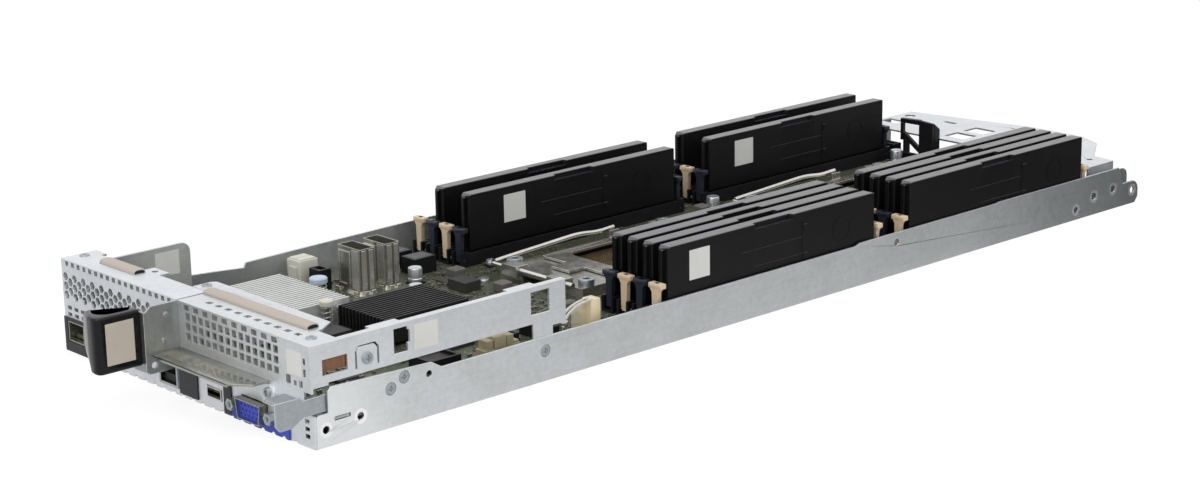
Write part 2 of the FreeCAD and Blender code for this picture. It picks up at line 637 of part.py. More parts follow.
# Coloured plates on the front panel
blue = box(hub + 34.2, hub + 71.6, -0.6, 0, 0.2, 4.6)
blue_cuts = [cyl_y(hub + 34 + i * scallop_step, -1, 1, -0.4, 1.5) for i in range(7)]
blue_cuts.append(prism_xz(d_outline(video_x, video_z, 17.4, 8.8), -1, 1))
blue_cuts += [cyl_y(video_x + side * jack_dx, -1, 1, video_z, 2.8) for side in (-1, 1)]
save("blue_port_plate", drill(blue, blue_cuts))
left_black = box(-half, from_left(27.2), -0.6, 0, 0.2, 7.2)
left_black = join([left_black, box(-half, from_left(16.6), -0.6, 0, 7.2, 15.0)])
left_black = left_black.cut(box(plug_port[0], plug_port[1], -2, 1, plug_port[2], plug_port[3]))
mid_black = box(hub - 1.6, hub + 11.0, -0.6, 0, 1.4, 17.6)
mid_black = mid_black.cut(box(hub - 3.0, hub + 0.2, -1, 1, bracket_low - 0.2, 20))
right_black = box(hub + 29.0, hub + 34.0, -0.6, 0, 0.6, 17.6)
save("black_port_plates", [left_black, mid_black, right_black])

# Processor sockets: plastic base, steel frame, hinged load plate, two wire levers
base_half_x = 25.6
base_half_y = 29.0
frame_low = board_top + 3.0
frame_top = frame_low + 1.5


def cpu_base(cy):
    body = box(cpu_x - base_half_x, cpu_x + base_half_x, cy - base_half_y, cy + base_half_y, board_top, frame_low)
    well = box(cpu_x - 21, cpu_x + 21, cy - 24, cy + 24, frame_low - 1.4, frame_low + 1)
    return body.cut(well)


def cpu_frame(cy):
    plate = box(cpu_x - 27.6, cpu_x + 27.6, cy - 53.0, cy + 53.0, frame_low, frame_top)
    window = box(cpu_x - 22.6, cpu_x + 22.6, cy - 27.0, cy + 27.0, 0, 20)
    parts = [plate]
    legs = [
        box(cpu_x - 27.6, cpu_x - 12, cy - 53.0, cy - 36.0, board_top, frame_low),
        box(cpu_x + 12, cpu_x + 27.6, cy - 53.0, cy - 36.0, board_top, frame_low),
        box(cpu_x - 27.6, cpu_x - 12, cy + 36.0, cy + 53.0, board_top, frame_low),
        box(cpu_x + 12, cpu_x + 27.6, cy + 36.0, cy + 53.0, board_top, frame_low),
    ]
    parts += legs
    bores = [window]
    for end in (-1, 1):
        bar_y = cy + end * lever_bar_dy
        for x0 in (cpu_x - 20.0, cpu_x + 10.0):
            y0 = min(bar_y - end * 4.6, bar_y + end * 2.3)
            y1 = max(bar_y - end * 4.6, bar_y + end * 2.3)
            parts.append(box(x0, x0 + 10.0, y0, y1, frame_low, lever_bar_z + 2.0))
            bores.append(cyl_x(x0 - 0.1, x0 + 10.1, bar_y, lever_bar_z, wire_r + turn_gap))
    ears = []
    for x0 in (cpu_x - 25.0, cpu_x + 23.4):
        ears.append(box(x0, x0 + 1.6, cy + plate_hinge_dy - 2, cy + plate_hinge_dy + 2, frame_top, plate_hinge_z + 1.7))
    pin = cyl_x(cpu_x - 24.0, cpu_x + 24.0, cy + plate_hinge_dy, plate_hinge_z, 0.8)
    tabs = [
        box(cpu_x - lever_arm_dx + 2.2, cpu_x - lever_arm_dx + 3.2, cy + 14.0, cy + 20.0, frame_low, 15.4),
        box(cpu_x + lever_arm_dx - 3.2, cpu_x + lever_arm_dx - 2.2, cy - 20.0, cy - 14.0, frame_low, 15.4),
    ]
    boss_holes = []
    for sx in (-1, 1):
        for sy in (-1, 1):
            boss_holes.append(cyl_z(cpu_x + sx * boss_dx, cy + sy * boss_dy, 0, 20, 1.6))
    solid = drill(join(parts + ears + tabs), bores + boss_holes)
    return join([solid, pin])


def load_plate(cy):
    plate = box(cpu_x - 22.0, cpu_x + 22.0, cy - 32.0, cy + plate_hinge_dy - 1.0, frame_top + 0.3, frame_top + 1.5)
    window = [(cpu_x - 17, cy - 19), (cpu_x - 12, cy - 22), (cpu_x + 12, cy - 22), (cpu_x + 17, cy - 19)]
    window += [(cpu_x + 17, cy + 19), (cpu_x + 12, cy + 22), (cpu_x - 12, cy + 22), (cpu_x - 17, cy + 19)]
    plate = plate.cut(prism_xy(window, 0, 20))
    plate = plate.cut(box(cpu_x - 8, cpu_x + 8, cy + plate_hinge_dy - 6, cy + plate_hinge_dy, 0, 20))
    tongue = box(cpu_x - 6, cpu_x + 6, cy - 41.0, cy - 32.0, frame_top + 0.3, frame_top + 1.5)
    knuckles = [
        cyl_x(cpu_x - 22.0, cpu_x - 9.0, cy + plate_hinge_dy, plate_hinge_z, 1.8),
        cyl_x(cpu_x + 9.0, cpu_x + 22.0, cy + plate_hinge_dy, plate_hinge_z, 1.8),
    ]
    hole = cyl_x(cpu_x - 30, cpu_x + 30, cy + plate_hinge_dy, plate_hinge_z, 0.8 + turn_gap)
    return join([plate, tongue] + knuckles).cut(hole)


def wire(points, r):
    parts = []
    for a, b in zip(points, points[1:]):
        line = b.sub(a)
        parts.append(Part.makeCylinder(r, line.Length, a, line))
    for p in points[1:-1]:
        parts.append(Part.makeSphere(r, p))
    return join(parts)


def cpu_lever(cy, side, end):
    # side: where the arm lies in x, end: which end of the frame holds the bar
    bar_y = cy + end * lever_bar_dy
    arm_x = cpu_x + side * lever_arm_dx
    bend_y = bar_y - end * 53.0
    tip_y = bar_y - end * 76.0
    path = [
        vec(cpu_x - side * 25.0, bar_y, lever_bar_z), vec(arm_x, bar_y, lever_bar_z),
        vec(arm_x, bend_y, lever_bar_z + 2.8), vec(arm_x, bend_y - end * 12.0, lever_bar_z + 1.4),
        vec(arm_x + side * 1.2, tip_y, lever_bar_z + 1.6),
    ]
    return wire(path, wire_r)


save("cpu_socket_bases", [cpu_base(cy) for cy in cpu_y])
save("cpu_socket_frames", [cpu_frame(cy) for cy in cpu_y])
for index, tag in enumerate(("front", "rear")):
    save("load_plate_" + tag, load_plate(cpu_y[index]))
    save("load_lever_" + tag + "_left", cpu_lever(cpu_y[index], -1, -1))
    save("load_lever_" + tag + "_right", cpu_lever(cpu_y[index], 1, 1))
boss_screws = []
for cy in cpu_y:
    for sx in (-1, 1):
        for sy in (-1, 1):
            x = cpu_x + sx * boss_dx
            y = cy + sy * boss_dy
            head = cyl_z(x, y, frame_top, frame_top + 2.2, 3.0)
            boss = join([head, cyl_z(x, y, board_top, frame_top, 1.5)])
            boss_screws.append(boss.cut(cyl_z(x, y, frame_top + 1.0, frame_top + 3.0, 1.4)))
save("cpu_frame_screws", boss_screws)

# Memory sockets, latches and blanks
tower_y0 = slot_half + latch_gap
tower_y1 = slot_half + 4.5
pivot_dy = slot_half + latch_gap + 2.0
stem_half = 1.9
trunnion_r = 0.8
right_slots = [right_first - i * slot_pitch for i in range(4)]
left_slots = [left_first - i * slot_pitch for i in range(4)]
left_filled = [left_slots[0], left_slots[2]]


def memory_socket(x, cy):
    body = box(x - socket_thick / 2, x + socket_thick / 2, cy - tower_y0, cy + tower_y0, board_top, socket_top)
    groove = box(x - groove_width / 2, x + groove_width / 2, cy - tower_y0 - 1, cy + tower_y0 + 1, groove_bottom, 20)
    parts = [body.cut(groove)]
    bores = []
    for end in (-1, 1):
        y0 = min(cy + end * tower_y0, cy + end * tower_y1)
        y1 = max(cy + end * tower_y0, cy + end * tower_y1)
        parts.append(box(x - socket_thick / 2, x + socket_thick / 2, y0, y1, board_top, board_top + 0.9))
        for side in (-1, 1):
            x0 = min(x + side * 2.2, x + side * socket_thick / 2)
            x1 = max(x + side * 2.2, x + side * socket_thick / 2)
            parts.append(box(x0, x1, y0, y1, board_top, tower_top))
        bores.append(cyl_x(x - 5, x + 5, cy + end * pivot_dy, latch_pivot_z, trunnion_r + turn_gap))
    return drill(join(parts), bores)


def latch(x, cy, end):
    py = cy + end * pivot_dy
    inner = cy + end * (slot_half + latch_gap)
    outer = cy + end * (slot_half + latch_gap + latch_deep)
    head = box(x - 3.8, x + 3.8, min(inner, outer), max(inner, outer), latch_head_low, latch_head_top)
    s0 = py - end * 1.0
    s1 = py + end * 1.3
    stem = box(x - stem_half, x + stem_half, min(s0, s1), max(s0, s1), latch_pivot_z - 1.3, latch_head_low)
    neck = prism_xz([(x - stem_half, latch_head_low - 2.2), (x + stem_half, latch_head_low - 2.2),
                     (x + 3.4, latch_head_low), (x - 3.4, latch_head_low)], min(s0, s1), max(s0, s1))
    pin = cyl_x(x - 3.2, x + 3.2, py, latch_pivot_z, trunnion_r)
    return join([head, stem, neck, pin])


def blank(x, cy):
    blade = box(x - blade_thick / 2, x + blade_thick / 2, cy - slot_half, cy + slot_half, groove_bottom, blade_top)
    end = slot_half - 1.5
    strip = slot_half - 4.3
    side = [(-end, 15.0), (end, 15.0), (end, 37.6), (strip, blank_top), (-strip, blank_top), (-end, 37.6)]
    body = prism_yz([(cy + y, z) for y, z in side], x - blank_thick / 2, x + blank_thick / 2)
    waist = box(x + 0.9, x + 5, cy - 12.5, cy + 11.0, 38.4, 50)
    return join([blade, body]).cut(waist)


save("memory_sockets_right", [memory_socket(x, cy) for cy in row_middle for x in right_slots])
save("memory_sockets_left", [memory_socket(x, cy) for cy in row_middle for x in left_slots])
save("memory_blanks_right", [blank(x, cy) for cy in row_middle for x in right_slots])
save("memory_blanks_left", [blank(x, cy) for cy in row_middle for x in left_filled])
for row, cy in zip(("front", "rear"), row_middle):
    for bank, slots in (("right", right_slots), ("left", left_slots)):
        for end, place_name in ((-1, "a"), (1, "b")):
            save("latches_%s_%s_%s" % (row, bank, place_name), [latch(x, cy, end) for x in slots])

# Paper labels
label = 0.2
near_face = right_first + blank_thick / 2
far_face = left_first + blank_thick / 2
labels = [
    box(hub + 71.6, hub + 81.0, -label, 0, 27.0, 36.2),
    box(side_out, side_out + label, 48.6, 60.2, 27.6, 37.6),
    box(-wall_in + sheet, -wall_in + sheet + label, 44.0, 56.0, 22.4, 33.0),
    box(near_face, near_face + label, row_middle[0] - 52.6, row_middle[0] - 40.6, 24.0, 37.0),
    box(far_face, far_face + label, row_middle[0] - 44.6, row_middle[0] - 31.6, 24.0, 37.0),
    box(far_face, far_face + label, row_middle[1] - 47.4, row_middle[1] - 34.4, 24.0, 37.0),
]
save("paper_labels", labels)

# Arched spring clip on the right side
clip_r = 16.6
clip_y = 144.4
clip_z = 9.0
clip_thick = 0.6
clip_x = (from_right(15.2), from_right(6.2))
outer_arc = arc(clip_y, clip_z, clip_r, 180, 90, 12)
inner_arc = arc(clip_y, clip_z, clip_r - clip_thick, 90, 180, 12)
strap = prism_yz(outer_arc + inner_arc, clip_x[0], clip_x[1])
foot_y = clip_y - clip_r
strap_foot = box(clip_x[0], clip_x[1], foot_y - 7.0, foot_y + clip_thick, board_top, board_top + clip_thick)
strap_rise = box(clip_x[0], clip_x[1], foot_y, foot_y + clip_thick, board_top, clip_z + 0.1)
strap = join([strap, strap_foot, strap_rise])
post = box(clip_x[0] + 3.0, clip_x[1], clip_y, clip_y + 5.6, board_top, 25.8)
save("spring_clip", [strap, post])

# Rear deck on side flanges, with its curled front hook
deck_left = from_left(13.4)
deck_right = from_right(11.2)
leg_end = deck_front + 21.4
deck_outline = [
    (deck_left, deck_front), (deck_right, deck_front), (deck_right, leg_end), (62.7, leg_end + 1.8),
    (46.2, deck_rear - 7.2), (31.6, deck_rear - 0.2), (-0.3, deck_rear), (deck_left, deck_rear - 14.0),
]
deck = join([
    prism_xy(deck_outline, deck_top - sheet, deck_top),
    box(deck_left, deck_left + sheet, deck_front, leg_end + 2.0, sheet, deck_top),
    box(deck_right - sheet, deck_right, deck_front, leg_end, sheet, deck_top),
])
deck_cuts = [
    box(-22.6, -9.0, deck_front + 23.4, deck_front + 34.4, 10, 30),
    box(-22.6, -9.0, deck_front + 7.4, deck_front + 18.4, 10, 30),
    cyl_z(deck_left + 6.8, deck_front + 32.4, 15, 30, 3.0),
    box(deck_left + 2.8, deck_left + 13.8, deck_front + 12.4, deck_front + 20.4, 15, 30),
    cyl_z(-7.2, deck_rear - 9.4, 15, 30, 1.0), cyl_z(deck_right - 10.4, deck_front + 15.4, 15, 30, 1.7),
    box(-44.0, -36.0, deck_front + 32.4, deck_front + 35.4, 15, 30), cyl_z(30.0, deck_rear - 13.0, 15, 30, 1.0),
]
deck = drill(deck, deck_cuts)
save("rear_deck", deck)
roll_y = deck_front - 2.0
roll_z = deck_top - 2.2
roll_r = 2.0
hook_ring = cyl_x(deck_right - 10.0, deck_right - 1.4, roll_y, roll_z, roll_r)
hook_ring = hook_ring.cut(cyl_x(deck_right - 16, deck_right + 4, roll_y, roll_z, roll_r - 0.7))
save("deck_roll", hook_ring)

# Black cable holder in front of the deck
holder_x = (-40.0, -18.0)
holder_wall = 1.8
holder_front = board_rear - 6.4
holder = join([
    box(holder_x[0], holder_x[1], holder_front, holder_front + holder_wall, board_top, 27.0),
    box(holder_x[0], holder_x[0] + holder_wall, holder_front + holder_wall, board_rear, board_top, 30.5),
    box(holder_x[1] - holder_wall, holder_x[1], holder_front + holder_wall, board_rear, board_top, 30.5),
    box(holder_x[0], holder_x[0] + 10.0, board_rear - holder_wall, board_rear, 24.0, 30.5),
])
save("rear_cable_holder", holder)

# Rear bracket between the deck and the right wall
bracket_x = wall_in - 6.2
bracket_front = tray_end - 25.0
bracket_rear = tray_end - 1.0
bracket_side = [(bracket_front, sheet), (bracket_rear, sheet), (bracket_rear, 13.0)]
bracket_side += arc(bracket_rear - 4.0, 13.0, 4.0, 10, 90, 4) + [(bracket_front, 17.0)]
rear_bracket = join([
    prism_yz(bracket_side, bracket_x, bracket_x + sheet),
    box(bracket_x + sheet, wall_in, bracket_front, bracket_front + 9.0, sheet, sheet * 2),
])
rear_bracket = drill(rear_bracket, [cyl_x(bracket_x - 2, bracket_x + 4, tray_end - 7.0, 8.0, 1.6)])
save("rear_bracket", rear_bracket)
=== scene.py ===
# %% [markdown]
# # A half-width server sled, dressed for a product photograph
#
# The real thing is a shallow zinc-plated tray with a circuit board in it, two vented cages at
# the front, black plastic air baffles in the memory slots and a handle to pull it out. Its solids
# come in from the CAD pack. This lesson gives each of them a finish, replaces the ones whose real
# shape is soft or rounded, and adds the small parts that make a board read as a board.

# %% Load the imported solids
import bpy
import numpy as np
from mathutils import Matrix, Vector


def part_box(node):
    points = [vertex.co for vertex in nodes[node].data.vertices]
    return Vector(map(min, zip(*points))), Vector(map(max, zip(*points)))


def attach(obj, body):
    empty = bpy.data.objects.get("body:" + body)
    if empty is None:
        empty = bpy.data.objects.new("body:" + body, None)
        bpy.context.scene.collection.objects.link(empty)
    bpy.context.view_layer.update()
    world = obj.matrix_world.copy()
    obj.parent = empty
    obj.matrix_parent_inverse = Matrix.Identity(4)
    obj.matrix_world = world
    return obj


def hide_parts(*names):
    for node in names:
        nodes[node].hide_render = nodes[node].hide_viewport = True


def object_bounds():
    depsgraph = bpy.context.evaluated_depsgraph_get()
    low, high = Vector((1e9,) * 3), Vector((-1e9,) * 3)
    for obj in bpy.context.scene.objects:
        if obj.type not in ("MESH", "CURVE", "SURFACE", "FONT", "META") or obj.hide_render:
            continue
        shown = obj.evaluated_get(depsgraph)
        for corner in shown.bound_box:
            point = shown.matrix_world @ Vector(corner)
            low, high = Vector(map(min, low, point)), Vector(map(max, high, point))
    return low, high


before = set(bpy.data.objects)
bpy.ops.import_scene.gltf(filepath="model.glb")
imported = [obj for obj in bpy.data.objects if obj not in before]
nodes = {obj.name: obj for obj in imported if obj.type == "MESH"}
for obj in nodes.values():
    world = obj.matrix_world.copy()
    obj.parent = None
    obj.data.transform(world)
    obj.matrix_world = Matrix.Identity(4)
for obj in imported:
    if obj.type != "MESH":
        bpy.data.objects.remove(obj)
cad_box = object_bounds()

# %% [markdown]
# ## One frame for all measures
#
# A maker measures this sled from its front panel: x across, y towards the rear, z up from the
# floor of the tray, all in millimetres. Blender works in metres about the middle of the object.
# One small function turns the first into the second, so every number below is a real distance.

# %% From millimetres to the frame
mm = 0.001
board_top = 7.5
cage_top = 40.0
front_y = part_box("left_vent_cage")[0].y


def to_frame(points):
    """Millimetres from the front panel to metres: times 0.001, then y moves by the panel's place."""
    out = np.array(points, float) * mm
    out[:, 1] += front_y
    return out


print("front panel at y", round(front_y, 4))

# %% [markdown]
# ## The camera
#
# The photograph was taken from the front right and a little above, with a long lens. Place, turn
# and lens were found by matching known corners of the sled with their places in the picture.

# %% Camera at the photographed angle
turn, lift, roll = np.radians([47.373, 15.4746, -0.894])
back = np.array([np.sin(turn) * np.cos(lift), -np.cos(turn) * np.cos(lift), np.sin(lift)])
right = np.array([np.cos(turn), np.sin(turn), 0.0])
up = np.cross(back, right)
pose = Matrix.Identity(4)
pose.col[0][:3] = right * np.cos(roll) + up * np.sin(roll)
pose.col[1][:3] = up * np.cos(roll) - right * np.sin(roll)
pose.col[2][:3] = back
pose.col[3][:3] = (0.7834, -0.7501, 0.3102)
lens = bpy.data.cameras.new("long_lens")
lens.lens, lens.sensor_width, lens.clip_start = 73.145, 36.0, 0.05
camera = bpy.data.objects.new("camera", lens)
camera.matrix_world = pose
scene = bpy.context.scene
scene.collection.objects.link(camera)
scene.camera = camera
scene.view_settings.view_transform = "Standard"
print("camera", [round(v, 3) for v in camera.location])

# %% [markdown]
# ## Surfaces from arrays
#
# Every new part is a stack of rings: a closed outline that is repeated along a height or a path,
# with quads between one ring and the next and a flat face on each end. Boxes with broken edges,
# turned cans, bent wires and moulded shells are all this one idea, so it is written once.

# %% Rings joined by quads
def loft(rings, caps=True):
    """Rings of n points each. Face (i, j) joins points j and j+1 of ring i to those of ring i+1."""
    m, n = rings.shape[:2]
    i, j = [a.ravel() for a in np.meshgrid(np.arange(m - 1), np.arange(n), indexing="ij")]
    k = (j + 1) % n
    faces = [np.stack([i * n + j, i * n + k, (i + 1) * n + k, (i + 1) * n + j], 1)]
    if caps:
        faces += [np.arange(n)[::-1][None], (np.arange(n) + (m - 1) * n)[None]]
    return rings.reshape(-1, 3), faces


def stand(rings, axis):
    """Rings drawn with their third number along the part, turned so that it lies along x, y or z."""
    return rings[..., {"z": [0, 1, 2], "x": [2, 0, 1], "y": [1, 2, 0]}[axis]]


def merge(parts):
    """Parts in one mesh: each part's face numbers move up by the points that come before it."""
    starts = np.cumsum([0] + [len(v) for v, f in parts])
    faces = [a + s for (v, f), s in zip(parts, starts) for a in f]
    return np.concatenate([v for v, f in parts]), faces


def copies(faces, count, points):
    """The faces of many copies: copy k adds k times the number of points to each face number."""
    jump = (np.arange(count) * points)[:, None, None]
    return [(a + jump).reshape(-1, a.shape[1]) for a in faces]


def repeat(part, shifts):
    """The same part at many places: point i of copy k is point i plus shift k."""
    verts, faces = part
    shifts = np.asarray(shifts, float).reshape(-1, 3)
    return (verts[None] + shifts[:, None]).reshape(-1, 3), copies(faces, len(shifts), len(verts))


print("loft of a square:", len(loft(np.zeros((2, 4, 3)))[1][0]), "sides")

# %% [markdown]
# ## Outlines with soft corners
#
# Punched sheet and moulded plastic have no perfectly sharp corner. An outline's corners are cut
# back and bridged with a parabola, and the two ends of an extruded part draw in by the same
# small radius, so that an edge catches a thin line of light as the real one does.

# %% Corner and edge rounding
def rectangle(x0, y0, x1, y1):
    """The four corners, anticlockwise."""
    return [(x0, y0), (x1, y0), (x1, y1), (x0, y1)]


def soften(points, cut, steps=4, closed=True):
    """Each corner P becomes (1-t)^2 A + 2t(1-t) P + t^2 B, with A and B a cut before and after it."""
    p = np.asarray(points, float)
    before, after = np.roll(p, 1, 0) - p, np.roll(p, -1, 0) - p
    lb = np.linalg.norm(before, axis=1, keepdims=True)
    la = np.linalg.norm(after, axis=1, keepdims=True)
    c = np.minimum(np.broadcast_to(np.reshape(cut, (-1, 1)), lb.shape), 0.48 * np.minimum(lb, la))
    a, b = p + before / lb * c, p + after / la * c
    t = np.linspace(0, 1, steps + 1)[None, :, None]
    q = (1 - t) ** 2 * a[:, None] + 2 * t * (1 - t) * p[:, None] + t ** 2 * b[:, None]
    if closed:
        return q.reshape(-1, p.shape[1])
    return np.concatenate([p[:1], q[1:-1].reshape(-1, p.shape[1]), p[-1:]])


def anticlockwise(outline):
    """The outline in the order that makes its area, the sum of x y' - x' y, positive."""
    after = np.roll(outline, -1, 0)
    area = (outline[:, 0] * after[:, 1] - after[:, 0] * outline[:, 1]).sum()
    return outline[::-1] if area < 0 else outline


def inset(outline, d):
    """Each corner moves inwards along the sum of its sides' normals over one plus their cosine."""
    side = np.roll(outline, -1, 0) - outline
    side = side / np.linalg.norm(side, axis=1, keepdims=True)
    n1 = np.stack([-side[:, 1], side[:, 0]], 1)
    n0 = np.roll(n1, 1, 0)
    return outline + d * (n0 + n1) / (1.0 + (n0 * n1).sum(1, keepdims=True))


def tiers(outline, draws, heights):
    """The outline once for every height, moved inwards by that height's draw."""
    return np.stack([np.column_stack([inset(outline, d), np.full(len(outline), h)])
                     for d, h in zip(draws, heights)])


def prism(outline, low, high, axis="z", edge=0.2, steps=1):
    """An outline carried from low to high, its ends drawn in by a quarter circle of radius edge."""
    o = np.asarray(outline, float)
    o = anticlockwise(o[:, ::-1] if axis == "y" else o)
    t = np.linspace(0, np.pi / 2, steps + 1)
    draws, rise = edge * (1 - np.sin(t)), edge * (1 - np.cos(t))
    heights = np.concatenate([low + rise, (high - rise)[::-1]])
    return loft(stand(tiers(o, np.concatenate([draws, draws[::-1]]), heights), axis))


print("softened square has", len(soften(rectangle(0, 0, 4, 3), 0.5)), "points")

# %% [markdown]
# ## Boxes by the hundred
#
# Chips, resistors and pads are boxes with their edges broken. Four rings of eight points make
# one, and the same array sum makes a thousand at once, which is how a whole board of small parts
# stays quick.

# %% Chamfered blocks, many at a time
def blocks(low, high, edge=0.12):
    """Boxes from low to high. The rings' corners are pulled in by edge, the end rings once more."""
    low, high = np.atleast_2d(np.asarray(low, float)), np.atleast_2d(np.asarray(high, float))
    mid, half = ((low + high) / 2)[:, None, None], ((high - low) / 2)[:, None, None]
    r = np.minimum(edge, (high - low).min(1) * 0.24)[:, None, None]
    sx, px = np.array([1, 1, 1, -1, -1, -1, -1, 1]), np.array([0, 0, 1, 1, 0, 0, 1, 1])
    sy, py = np.array([-1, 1, 1, 1, 1, -1, -1, -1]), np.array([1, 1, 0, 0, 1, 1, 0, 0])
    end = np.array([1, 0, 0, 1])[:, None]
    sz, pz = np.array([-1, -1, 1, 1])[:, None], np.array([0, 1, 1, 0])[:, None]
    pull_x, pull_y = px + end * (1 - 0.586 * px), py + end * (1 - 0.586 * py)
    x = mid[..., 0] + sx * (half[..., 0] - r * pull_x)
    y = mid[..., 1] + sy * (half[..., 1] - r * pull_y)
    z = mid[..., 2] + sz * (half[..., 2] - r * pz) + 0 * x
    verts = np.stack([x, y, z], -1)
    return verts.reshape(-1, 3), copies(loft(verts[0])[1], len(low), 32)


def boxes(rows, edge=0.12):
    """Blocks from rows of six numbers: the low corner's three, then the high corner's."""
    rows = np.asarray(rows, float)
    return blocks(rows[:, :3], rows[:, 3:], edge)


def bricks(low, high):
    """Plain boxes for things repeated thousands of times: a corner takes low or high on each axis."""
    take = np.array([(0, 0, 0), (1, 0, 0), (1, 1, 0), (0, 1, 0), (0, 0, 1), (1, 0, 1), (1, 1, 1), (0, 1, 1)])
    sides = np.array([(0, 3, 2, 1), (4, 5, 6, 7), (0, 1, 5, 4), (1, 2, 6, 5), (2, 3, 7, 6), (3, 0, 4, 7)])
    verts = low[:, None] + (high - low)[:, None] * take
    return verts.reshape(-1, 3), copies([sides], len(low), 8)


def pillar(plan, z0, z1, corner, bends, edge=0.2, steps=1):
    """An upright block on a rectangle (x0, y0, x1, y1) with softened corners."""
    return prism(soften(rectangle(*plan), corner, bends), z0, z1, "z", edge, steps)


def circle(r, n=12):
    """Points at equal angles on a circle of radius r."""
    a = np.linspace(0, 2 * np.pi, n, endpoint=False)
    return np.column_stack([r * np.cos(a), r * np.sin(a)])


def turned(profile, centre, axis="z", n=24):
    """A profile of (radius, height) pairs turned about an axis through centre."""
    p = np.asarray(profile, float)
    a = np.linspace(0, 2 * np.pi, n, endpoint=False)
    rings = np.stack([p[:, :1] * np.cos(a), p[:, :1] * np.sin(a), p[:, 1:] + 0 * a], -1)
    verts, faces = loft(stand(rings, axis))
    return verts + np.asarray(centre, float), faces


def swept(path, section, upward=(0, 0, 1)):
    """A section (a, b) carried along a path: point = path + a (up x tangent) + b (tangent x side)."""
    path, section = np.asarray(path, float), np.asarray(section, float)
    t = np.gradient(path, axis=0)
    t /= np.linalg.norm(t, axis=1, keepdims=True)
    side = np.cross(np.asarray(upward, float), t)
    side /= np.linalg.norm(side, axis=1, keepdims=True)
    top = np.cross(t, side)
    return loft(path[:, None] + section[None, :, :1] * side[:, None] + section[None, :, 1:] * top[:, None])


print("one block has", len(blocks((0, 0, 0), (2, 1, 1))[0]), "points")

# %% [markdown]
# ## From arrays to an object
#
# `foreach_set` hands whole arrays to Blender at once. Faces are shaded smooth and the edges that
# turn by more than a given angle are marked sharp, so a can is round and its rim stays crisp.
# Each object then rides on a moving body, takes a finish, and may stand for a CAD solid.

# %% Put a part in the scene
def show(name, part, finish, body="sled", sharp=38, stands_for=(), top_highlight_finish=None):
    """Makes the mesh in metres, marks its sharp edges, and hangs it on its body."""
    verts, faces = part
    mesh = bpy.data.meshes.new(name)
    corners = np.concatenate([a.ravel() for a in faces]).astype(np.int32)
    sizes = np.concatenate([np.full(len(a), a.shape[1]) for a in faces])
    mesh.vertices.add(len(verts))
    mesh.vertices.foreach_set("co", to_frame(verts).astype(np.float32).ravel())
    mesh.loops.add(len(corners))
    mesh.loops.foreach_set("vertex_index", corners)
    mesh.polygons.add(len(sizes))
    mesh.polygons.foreach_set("loop_start", (np.cumsum(sizes) - sizes).astype(np.int32))
    mesh.update(calc_edges=True)
    mesh.polygons.foreach_set("use_smooth", np.ones(len(sizes), bool))
    mesh.set_sharp_from_angle(angle=np.radians(sharp))
    mesh.materials.append(finish)
    # Faces that look upwards take the second finish, a painted highlight on the tops.
    if top_highlight_finish:
        facing = np.zeros(len(sizes) * 3, np.float32)
        mesh.polygons.foreach_get("normal", facing)
        mesh.materials.append(top_highlight_finish)
        mesh.polygons.foreach_set("material_index", (facing[2::3] > 0.6).astype(np.int32))
    piece = bpy.data.objects.new(name, mesh)
    scene.collection.objects.link(piece)
    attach(piece, body)
    if stands_for:
        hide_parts(*stands_for)


# %% [markdown]
# ## Finishes
#
# A finish is a small network of nodes: a pattern in the object's own coordinates drives colour
# and roughness a little, and a finer one lifts the surface. Values that are the same all over,
# such as how metallic a thing is, are set straight on the shader.

# %% Node helpers
def tone(r, g, b):
    """Screen numbers 0 to 255 to the linear light that a shader wants."""
    c = np.array([r, g, b]) / 255.0
    lin = np.where(c <= 0.04045, c / 12.92, ((c + 0.055) / 1.055) ** 2.4)
    return tuple(float(v) for v in lin) + (1.0,)


def put(tree, kind, inputs=(), **settings):
    """A node with its settings, and its inputs either linked or set."""
    node = tree.nodes.new("ShaderNode" + kind)
    for key, value in settings.items():
        setattr(node, key, value)
    for key, value in dict(inputs).items():
        if isinstance(value, bpy.types.NodeSocket):
            tree.links.new(value, node.inputs[key])
        else:
            node.inputs[key].default_value = value
    return node


def own_place(tree):
    """The coordinates in which the piece was drawn, in metres."""
    return put(tree, "TexCoord").outputs["Object"]


def own_axis(tree, axis):
    """One of those coordinates, by its letter."""
    return put(tree, "SeparateXYZ", {"Vector": own_place(tree)}).outputs[axis]


def maths(tree, operation, *values):
    """One sum on one or two values."""
    return put(tree, "Math", dict(enumerate(values)), operation=operation).outputs[0]


def span(tree, value, start, end, low=0.0, high=1.0):
    """A value between start and end brought to between low and high."""
    return put(tree, "MapRange", {"Value": value, "From Min": start, "From Max": end,
                                  "To Min": low, "To Max": high}).outputs["Result"]


def cloud(tree, where, scale, stretch=(1, 1, 1), detail=3.0, low=0.0, high=1.0):
    """Noise on the object's coordinates, stretched along an axis and brought to low..high."""
    at = put(tree, "Mapping", {"Vector": where, "Scale": stretch}).outputs["Vector"]
    noise = put(tree, "TexNoise", {"Vector": at, "Scale": scale, "Detail": detail}).outputs["Fac"]
    return span(tree, noise, 0.3, 0.7, low, high)


def mix(tree, factor, a, b):
    """A colour from a to b by a factor. Inputs 6 and 7 of the node are its two colours."""
    return put(tree, "Mix", {"Factor": factor, 6: a, 7: b}, data_type="RGBA").outputs[2]


def relief(tree, shader, height, distance):
    """Height to the shader's normal, in metres."""
    bump = put(tree, "Bump", {"Height": height, "Distance": distance, "Strength": 1.0})
    tree.links.new(bump.outputs["Normal"], shader.inputs["Normal"])


def lay_over(finish, factor, colour):
    """Turns the colour that a finish already has to another one, where the factor is one."""
    tree = finish.node_tree
    base = tree.nodes["Principled BSDF"].inputs["Base Color"]
    tree.links.new(mix(tree, factor, base.links[0].from_socket, tone(*colour)), base)


finishes = []


